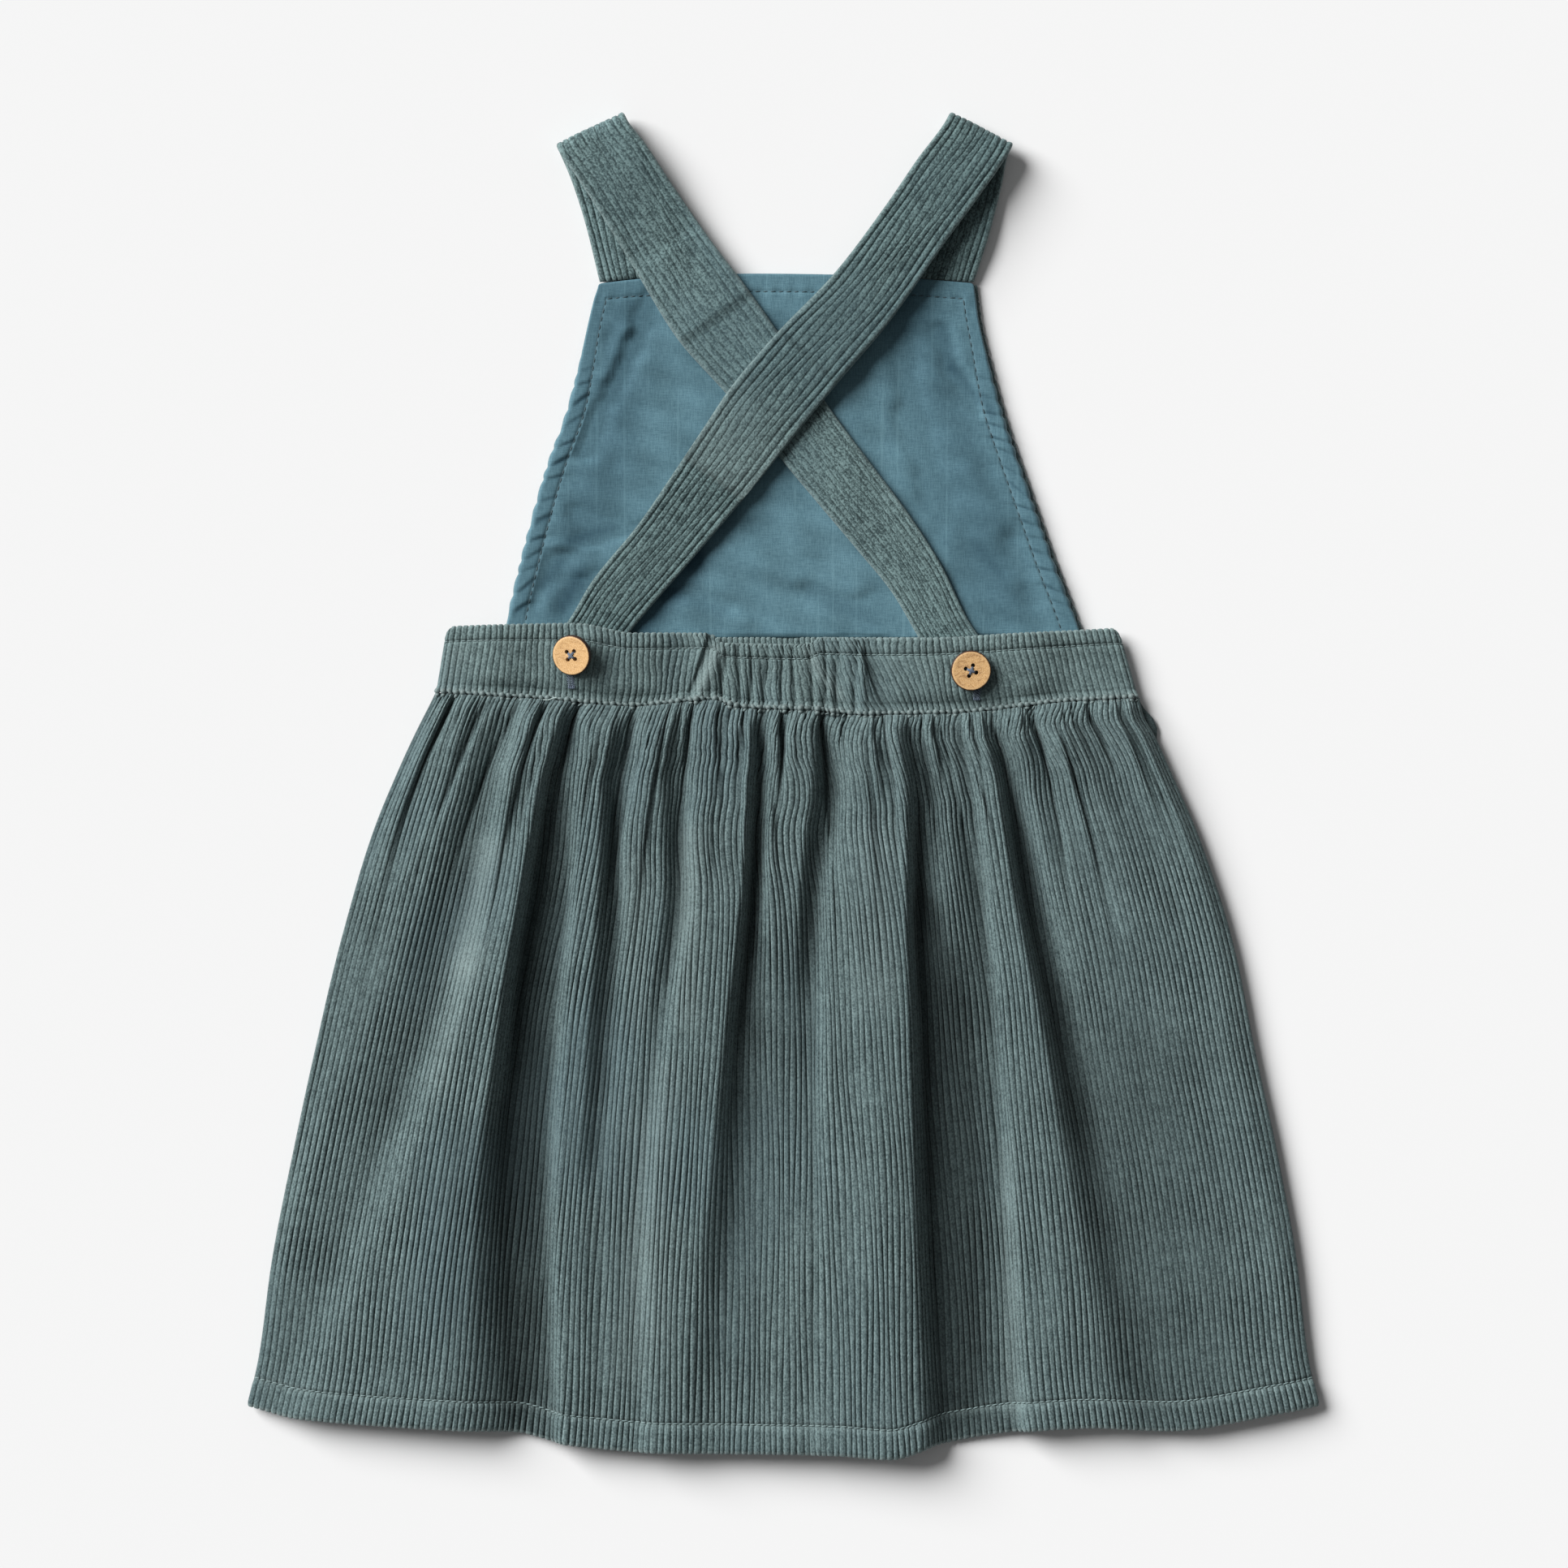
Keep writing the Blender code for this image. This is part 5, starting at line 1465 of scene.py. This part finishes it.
def make_bib_front(face, reverse):
    """Face of the bib, face down: ribs let into its underside, and an edge scalloped by the gathers."""
    shares = stations((1.0, 0.96, 0.94, 0.0), (5, 3, 88))
    up = shares[:, None]
    side_y = BIB_LOW + BIB_LENGTH * up
    left, right = sides_at(side_y, BIB_SIDES)
    scallop = np.abs(np.sin(math.pi * side_y / 2.9 + np.sin(0.4 * side_y)))
    left = left + BIB_EDGE - 0.4
    right = right - 0.75 + 0.7 * scallop
    ribs, fall = rib_stations(BIB_RIBS)
    x = left + (right - left) * ribs / BIB_RIBS
    y = side_y + up**4 * (line_at(x, BIB_TOP) - BIB_HIGH - 0.6)
    from_edge = np.minimum(x - left, right - x)
    puckers = 0.5 + 0.5 * np.sin(2.0 * math.pi * side_y / (PUCKER_PITCH / 2))
    let_in = 0.4 * fall + 0.45 * puckers * bell((from_edge - CASING / 2) / 3.0) * (up < BIB_FACE_SEAM)
    let_in = let_in + 0.4 * bell((from_edge - CASING) / 0.7) + 0.4 * bell((up - BIB_FACE_SEAM) / 0.006)
    edge = 1.0 - smooth_step(from_edge / 1.2)
    under = stacked(x, y, let_in + 0.45 * edge)
    over = stacked(x, y, CORDUROY - 0.45 * edge)
    cloth = stacked(ribs, (1.0 - up) * BIB_LENGTH / RIB_PITCH)
    wear = 0.5 * bell(from_edge / 0.8)
    sides = under[:, ::-1], over[:, ::-1], cloth[:, ::-1]
    return add_wall("bib_front_cloth", *sides, [face, reverse], wear=wear[:, ::-1])


# ---------------------------------------------------------------------------------------------------------
# Straps


def fold_sections(side):
    """Sections round the shoulder fold: half a turn about the line between the fold's two ends."""
    left = np.array(SHOULDER_FOLD[side]["left"])
    right = np.array(SHOULDER_FOLD[side]["right"])
    along = unit(right - left)
    outwards = np.array([-along[1], along[0]])
    start = STRAP_FOLD_RADIUS + CORDUROY_DOUBLE / 2
    angle = np.linspace(-math.pi / 2, math.pi / 2, 6)[:, None]
    reach = outwards * (STRAP_FOLD_RADIUS * np.cos(angle) - start)
    height = start + 0.6 + STRAP_FOLD_RADIUS * np.sin(angle)
    return np.hstack([left + reach, right + reach, height])


def strap_middle(side):
    """Middle surface of one strap: lengths along it, ribs across it with their fall, and the grid of points.

    Last comes the length at which the strap leaves its shoulder fold.
    """
    front = stacked(*STRAP_FRONT[side].values())
    fold = fold_sections(side)
    knots = np.vstack([front, fold, stacked(*STRAP_BACK[side].values())])
    centre = stacked(knots[:, 0] + knots[:, 2], knots[:, 1] + knots[:, 3], 2 * knots[:, 4]) / 2
    length = lengths_along(centre)
    fold_start = length[len(front) - 1]
    fold_end = length[len(front) + len(fold) - 1]
    turn = np.linspace(fold_start, fold_end, 26)
    before = np.linspace(0.0, fold_start, int(fold_start / STRAP_ROW_STEP))[:-1]
    after = np.linspace(fold_end, length[-1], int((length[-1] - fold_end) / STRAP_ROW_STEP))[1:]
    at = np.concatenate([before, turn, after])
    left_x, left_y, right_x, right_y, height = [curve(at, length, column)[:, None] for column in knots.T]
    ribs, fall = rib_stations(STRAP_RIBS)
    wander = 0.16 * np.sin(0.13 * at[:, None] + 1.1 * ribs) * np.sin(math.pi * ribs / STRAP_RIBS)
    across = (ribs + wander) / STRAP_RIBS
    x = left_x * (1 - across) + right_x * across
    y = left_y * (1 - across) + right_y * across
    return at, ribs, fall, stacked(x, y, height), fold_end


def strap_steps(side, at, middle, fold_end):
    """Steps where layers end inside a strap, at each length: added height, a line of painted shade, and a
    pale stretch.

    The cloth is higher, or lower, on the shoulder's side of a step, and eases back further up.
    """
    added, line, pale = np.zeros((3, len(at), 1))
    along = at[:, None]
    centre_x, centre_y = middle[..., 0].mean(axis=1), middle[..., 1].mean(axis=1)
    for x, y, height, dark, worn in zip(*STRAP_STEPS[side].values()):
        away = np.hypot(centre_x - x, centre_y - y)
        below = along - at[np.argmin(np.where(at > fold_end, away, np.inf))]
        before = 1.0 - smooth_step(below / 1.0)
        added += height * before * smooth_step((below + 34) / 40)
        # Painted shade along the step, where the lamp leaves it in shade
        line += dark * bell(below / 1.1)
        pale += worn * before * smooth_step((below + 50) / 40)
    return added, line, pale


def make_strap(side, face):
    """Shoulder strap: two ribbed plies with sewn edges, folded at the shoulder, with steps across it."""
    at, ribs, fall, middle, fold_end = strap_middle(side)
    along = at[:, None]
    added, line, pale = strap_steps(side, at, middle, fold_end)
    from_edge = np.minimum(ribs, STRAP_RIBS - ribs)
    rounded = 1.0 - turned_edge(from_edge, 0.6)
    seam = 0.35 * bell((from_edge - 1.0) / 0.25) + 0.25 * bell((from_edge - 2.0) / 0.25)
    wave = 0.12 * np.sin(0.21 * along + 0.5 * ribs) + 0.1 * np.sin(0.09 * along)
    puff = wave * (from_edge > 0.5)
    uneven = 1.0 + ripples(ribs, along, (0.35, 2.9, 20.0), (0.35, 61.0, 90.0))
    half = CORDUROY_DOUBLE / 2 - 0.6 * smooth_step((along - at[-1] + 22.0) / 10.0) - STRAP_EDGE
    outer_half = STRAP_EDGE + (half + puff + added - STRAP_RIB_DEPTH * uneven * fall - seam) * rounded
    inner_half = STRAP_EDGE + (half - 0.4 * fall - seam) * rounded
    normal = normals_of(middle)
    outer = middle + normal * outer_half[..., None]
    inner = middle - normal * inner_half[..., None]
    cloth = stacked(ribs + 40.0, along / RIB_PITCH)
    wear = 0.35 * bell(from_edge / 0.35) + pale
    # Painted shade along the steps' lines
    shade = np.broadcast_to(line, wear.shape)
    return add_wall(f"strap_{side}_cloth", outer, inner, cloth, [face], wear=wear, shade=shade)


# ---------------------------------------------------------------------------------------------------------
# Buttons


def turned(profile, segments):
    """Closed body turned about Z: rings of a profile of (radius, height), with one point at each pole."""
    profile = np.array(profile, float)
    radius, height = profile[1:-1, 0:1], profile[1:-1, 1:2]
    angle = np.arange(segments) * 2.0 * math.pi / segments
    points = stacked(radius * np.cos(angle), radius * np.sin(angle), height).reshape(-1, 3)
    poles = np.array([[0.0, 0.0, profile[0, 1]], [0.0, 0.0, profile[-1, 1]]])
    place = np.arange(segments)
    after = (place + 1) % segments
    last = len(points) - segments
    bottom = stacked(after, place, len(points))
    top = stacked(last + place, last + after, len(points) + 1)
    return np.vstack([points, poles]), [ring_faces(len(radius), segments), bottom, top]


def seat(side):
    """Where a button sits: its place, tilt and turn."""
    place = BUTTONS[side]
    tilt = Matrix.Rotation(math.radians(place["tilt"]), 4, "Y")
    lean = Matrix.Rotation(math.radians(place["lean"]), 4, "X")
    turn = Matrix.Rotation(math.radians(place["turn"]), 4, "Z")
    return Matrix.Translation(Vector((place["x"], place["y"], place["height"])) * MM) @ (tilt @ lean) @ turn


def drill(disc, name, x, y):
    """Cut one hole with eased upper edges through a button at x and y."""
    low, dished, high = -BUTTON_THICKNESS, BUTTON_THICKNESS / 2 - BUTTON_DISH, BUTTON_THICKNESS
    narrow, wide = BUTTON_HOLE / 2, BUTTON_HOLE / 2 + 0.2
    upper = [(narrow, dished - 0.1), (wide, dished + 0.1), (wide, high), (0.0, high)]
    profile = [(0.0, low), (narrow, low), *upper]
    points, faces = turned(profile, 28)
    cutter = add_mesh(name, points + [x, y, 0.0], faces, points[:, :2], [])
    disc.modifiers.new("hole", "BOOLEAN").object = cutter
    drilled = bpy.data.meshes.new_from_object(disc.evaluated_get(bpy.context.evaluated_depsgraph_get()))
    disc.modifiers.clear()
    disc.data = drilled
    bpy.data.objects.remove(cutter, do_unlink=True)


def make_button(side, coconut):
    """Four-hole button: a turned disc with a rounded rim round a dished middle, and drilled holes."""
    radius, half, bevel = BUTTON_DIAMETER / 2, BUTTON_THICKNESS / 2, BUTTON_BEVEL
    low = [(0.6, -half), (0.2, -half + 0.15), (0.0, -half + 0.6)]
    high = [(0.0, half - 2.0 * bevel), (0.3 * bevel, half - bevel), (bevel, half - 0.3 * bevel)]
    dish = [
        (inwards, half - BUTTON_DISH * smooth_step((inwards - 2.0 * bevel) / 2.5))
        for inwards in np.linspace(2.0 * bevel, 3.2, 6)
    ]
    rings = [(radius - inwards, height) for inwards, height in (*low, *high, *dish)]
    profile = [(0.0, -half), *rings, (0.0, half - BUTTON_DISH)]
    points, faces = turned(profile, 96)
    disc = add_mesh(f"button_{side}_coconut", points, faces, points[:, :2], [coconut])
    offset = BUTTON_HOLE_SPACING / 2
    for number, (x, y) in enumerate(((-1, -1), (1, -1), (1, 1), (-1, 1))):
        drill(disc, f"drill_{side}_{number}", x * offset, y * offset)
    disc.data.transform(seat(side))
    disc.data.shade_smooth()
    disc.data.set_sharp_from_angle(angle=math.radians(40))
    return disc


def make_button_thread(side, thread):
    """Thread that holds a button: two crossed bundles of three strands, and a short shank below."""
    share = np.linspace(-1.0, 1.0, 15)
    reach = 0.84 * BUTTON_HOLE_SPACING / 2 * share
    top = BUTTON_THICKNESS / 2 - BUTTON_DISH
    lifted = top + 0.25 - 2.0 * smooth_step((np.abs(share) - 0.7) / 0.26)
    strands = []
    for turn, rise in ((1.0, 0.0), (-1.0, 0.22)):
        for aside in (-0.3, 0.0, 0.3):
            height = lifted + rise * bell(share / 0.5) + 0.1 * (aside == 0.0)
            strands.append(stacked(reach - aside * 0.7 * turn, reach * turn + aside * 0.7, height))
    drop = np.linspace(-0.8, -3.4, 15)
    for angle in np.arange(7) * math.pi * 2 / 7:
        strands.append(stacked(0.7 * math.cos(angle), 0.7 * math.sin(angle), drop))
    threads = add_threads(f"button_thread_{side}", strands, thread, 0.19)
    threads.data.transform(seat(side))
    return threads


def make_buttonhole(side, thread):
    """Buttonhole: two columns of close satin stitches along a slit, joined by a bar at its lower end."""
    middle, bottom, top = BUTTONHOLES[side].values()
    low = line_at(middle, WAIST_SEAM)
    high = line_at(middle, BAND_TOP)
    y = np.linspace(bottom, top, 40)
    pieces = []
    for name, aside in (("a", -0.7), ("b", 0.7)):
        x = middle + aside + 0.2 * np.sin(0.9 * y)
        path = stacked(x, y, band_height(x, (y - low) / (high - low)) + 0.15)
        pieces.append(add_stitches(f"buttonhole_{side}_{name}", path, thread, **STITCHES["buttonhole"]))
    x = middle + np.linspace(-1.3, 1.3, 9)
    path = stacked(x, bottom - 0.2, band_height(x, (bottom - low) / (high - low)) + 0.05)
    pieces.append(add_stitches(f"buttonhole_{side}_bar", path, thread, **STITCHES["buttonhole_bar"]))
    return pieces


def make_loose_stitch(thread):
    """One long stitch that lies over the waist seam to the left of the left button."""
    x = np.linspace(-94.4, -86.6, 15)
    share = (x - x[0]) / (x[-1] - x[0])
    y = 31.9 + 1.0 * share + 0.25 * np.sin(9.0 * share)
    return add_threads("seam_stitch", [stacked(x, y, band_height(x, 0.03) + 1.75)], thread, 0.24)


# ---------------------------------------------------------------------------------------------------------
# Floor, light and camera

FLOOR_REACH = 6.0
FLOOR_HEIGHT = -0.0004
VIEW_WIDTH = 0.60375
VIEW_MIDDLE = 0.0003
VIEW_HEIGHT = 2.0
SENSOR = 36.0
KEY_FROM = (-1.1, 0.75, 0.85)
KEY_SPREAD = 38.0
KEY_STRENGTH = 5.35
SURROUND = 0.15


def make_floor():
    """Wide pale floor just below the dress."""
    finish = Finish("floor")
    finish.surface(Base_Color=FLOOR, Roughness=0.9, Specular_IOR_Level=0.1)
    mesh = bpy.data.meshes.new("floor")
    corners = [(x * FLOOR_REACH, y * FLOOR_REACH, 0) for x, y in ((-1, -1), (1, -1), (1, 1), (-1, 1))]
    mesh.from_pydata(corners, [], [(0, 1, 2, 3)])
    mesh.materials.append(finish.material)
    floor = bpy.data.objects.new("floor", mesh)
    floor.location.z = FLOOR_HEIGHT
    bpy.context.collection.objects.link(floor)
    return floor


def make_studio():
    """Wide soft light low on the upper left, as even as a far one, and a pale surround."""
    lamp = bpy.data.lights.new("key_light", "SUN")
    lamp.angle = math.radians(KEY_SPREAD)
    lamp.energy = KEY_STRENGTH
    light = bpy.data.objects.new("key_light", lamp)
    light.rotation_mode = "QUATERNION"
    light.rotation_quaternion = (-Vector(KEY_FROM)).to_track_quat("-Z", "Y")
    bpy.context.collection.objects.link(light)
    world = bpy.data.worlds.new("studio")
    world.use_nodes = True
    backdrop = world.node_tree.nodes["Background"]
    backdrop.inputs["Color"].default_value = (1.0, 1.0, 1.0, 1.0)
    backdrop.inputs["Strength"].default_value = SURROUND
    bpy.context.scene.world = world
    bpy.context.scene.view_settings.view_transform = "Standard"


def make_camera():
    """Camera straight above the dress, its view as wide as it is high."""
    lens = bpy.data.cameras.new("camera")
    lens.sensor_width = SENSOR
    lens.lens = SENSOR * VIEW_HEIGHT / VIEW_WIDTH
    camera = bpy.data.objects.new("camera", lens)
    camera.location = (VIEW_MIDDLE, 0.0, VIEW_HEIGHT)
    bpy.context.collection.objects.link(camera)
    bpy.context.scene.camera = camera


# ---------------------------------------------------------------------------------------------------------
# The dress

make_camera()
floor = make_floor()
make_studio()

corduroy = {name: corduroy_finish(name, **look) for name, look in CORDUROYS.items()}
skirt_corduroy = corduroy["corduroy"]
band_corduroy = corduroy["corduroy_band"]
reverse = reverse_finish()
cotton = cotton_finish()
coconut = {side: coconut_finish(f"coconut_{side}", **look) for side, look in COCONUTS.items()}
teal_thread = thread_finish("thread_teal", THREAD_TEAL)
lining_thread = thread_finish("thread_lining", THREAD_COTTON)
violet_thread = thread_finish("thread_violet", THREAD_VIOLET)
seam_thread = thread_finish("thread_seam", THREAD_SEAM)
pale_thread = thread_finish("thread_pale", THREAD_PALE)

front_skirt, front_hem = make_front_skirt(skirt_corduroy, reverse, teal_thread)
back_skirt, back_hem = make_back_skirt(skirt_corduroy, reverse, teal_thread)
front_band = make_front_band(band_corduroy)
back_band, band_stitches, *seam_rope = make_back_band(band_corduroy, teal_thread, seam_thread)
bib_front = make_bib_front(skirt_corduroy, reverse)
lining, *lining_stitches = make_lining(cotton, lining_thread)
straps = {side: make_strap(side, corduroy[f"corduroy_strap_{side}"]) for side in ("left", "right")}
buttons = {side: make_button(side, coconut[side]) for side in ("left", "right")}
for side in buttons:
    make_button_thread(side, violet_thread)
buttonholes = {side: make_buttonhole(side, violet_thread) for side in ("left", "right")}
loose_stitch = make_loose_stitch(pale_thread)

SHEETS = (
    (front_skirt, "skirt_front", (0.455, 0.290), "laid", [floor], None, [front_hem]),
    (back_skirt, "skirt_back", (0.455, 0.300), "gathered", [front_skirt], None, [back_hem]),
    (front_band, "waistband_front", (0.270, 0.030), "laid", [floor], None, []),
    (back_band, "waistband_back", (0.300, 0.030), "gathered", [front_band, *straps.values()], None,
     [band_stitches, *seam_rope, loose_stitch, *buttonholes["left"], *buttonholes["right"]]),
    (bib_front, "bib_front", (0.226, 0.142), "laid", [floor], 0.0262, []),
    (lining, "bib_lining", (0.232, 0.146), "laid", [bib_front], 0.0272, lining_stitches),
    (straps["left"], "strap_left", (0.028, 0.345), "laid", [lining], None, []),
    (straps["right"], "strap_right", (0.028, 0.345), "laid", [lining, straps["left"]], None, []),
)
for piece, node, flat, held, rests_on, area, with_pieces in SHEETS:
    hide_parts(node)
    "cotton_lining" if node == "bib_lining" else "corduroy"
for side, button in buttons.items():
    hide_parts(f"button_{side}")
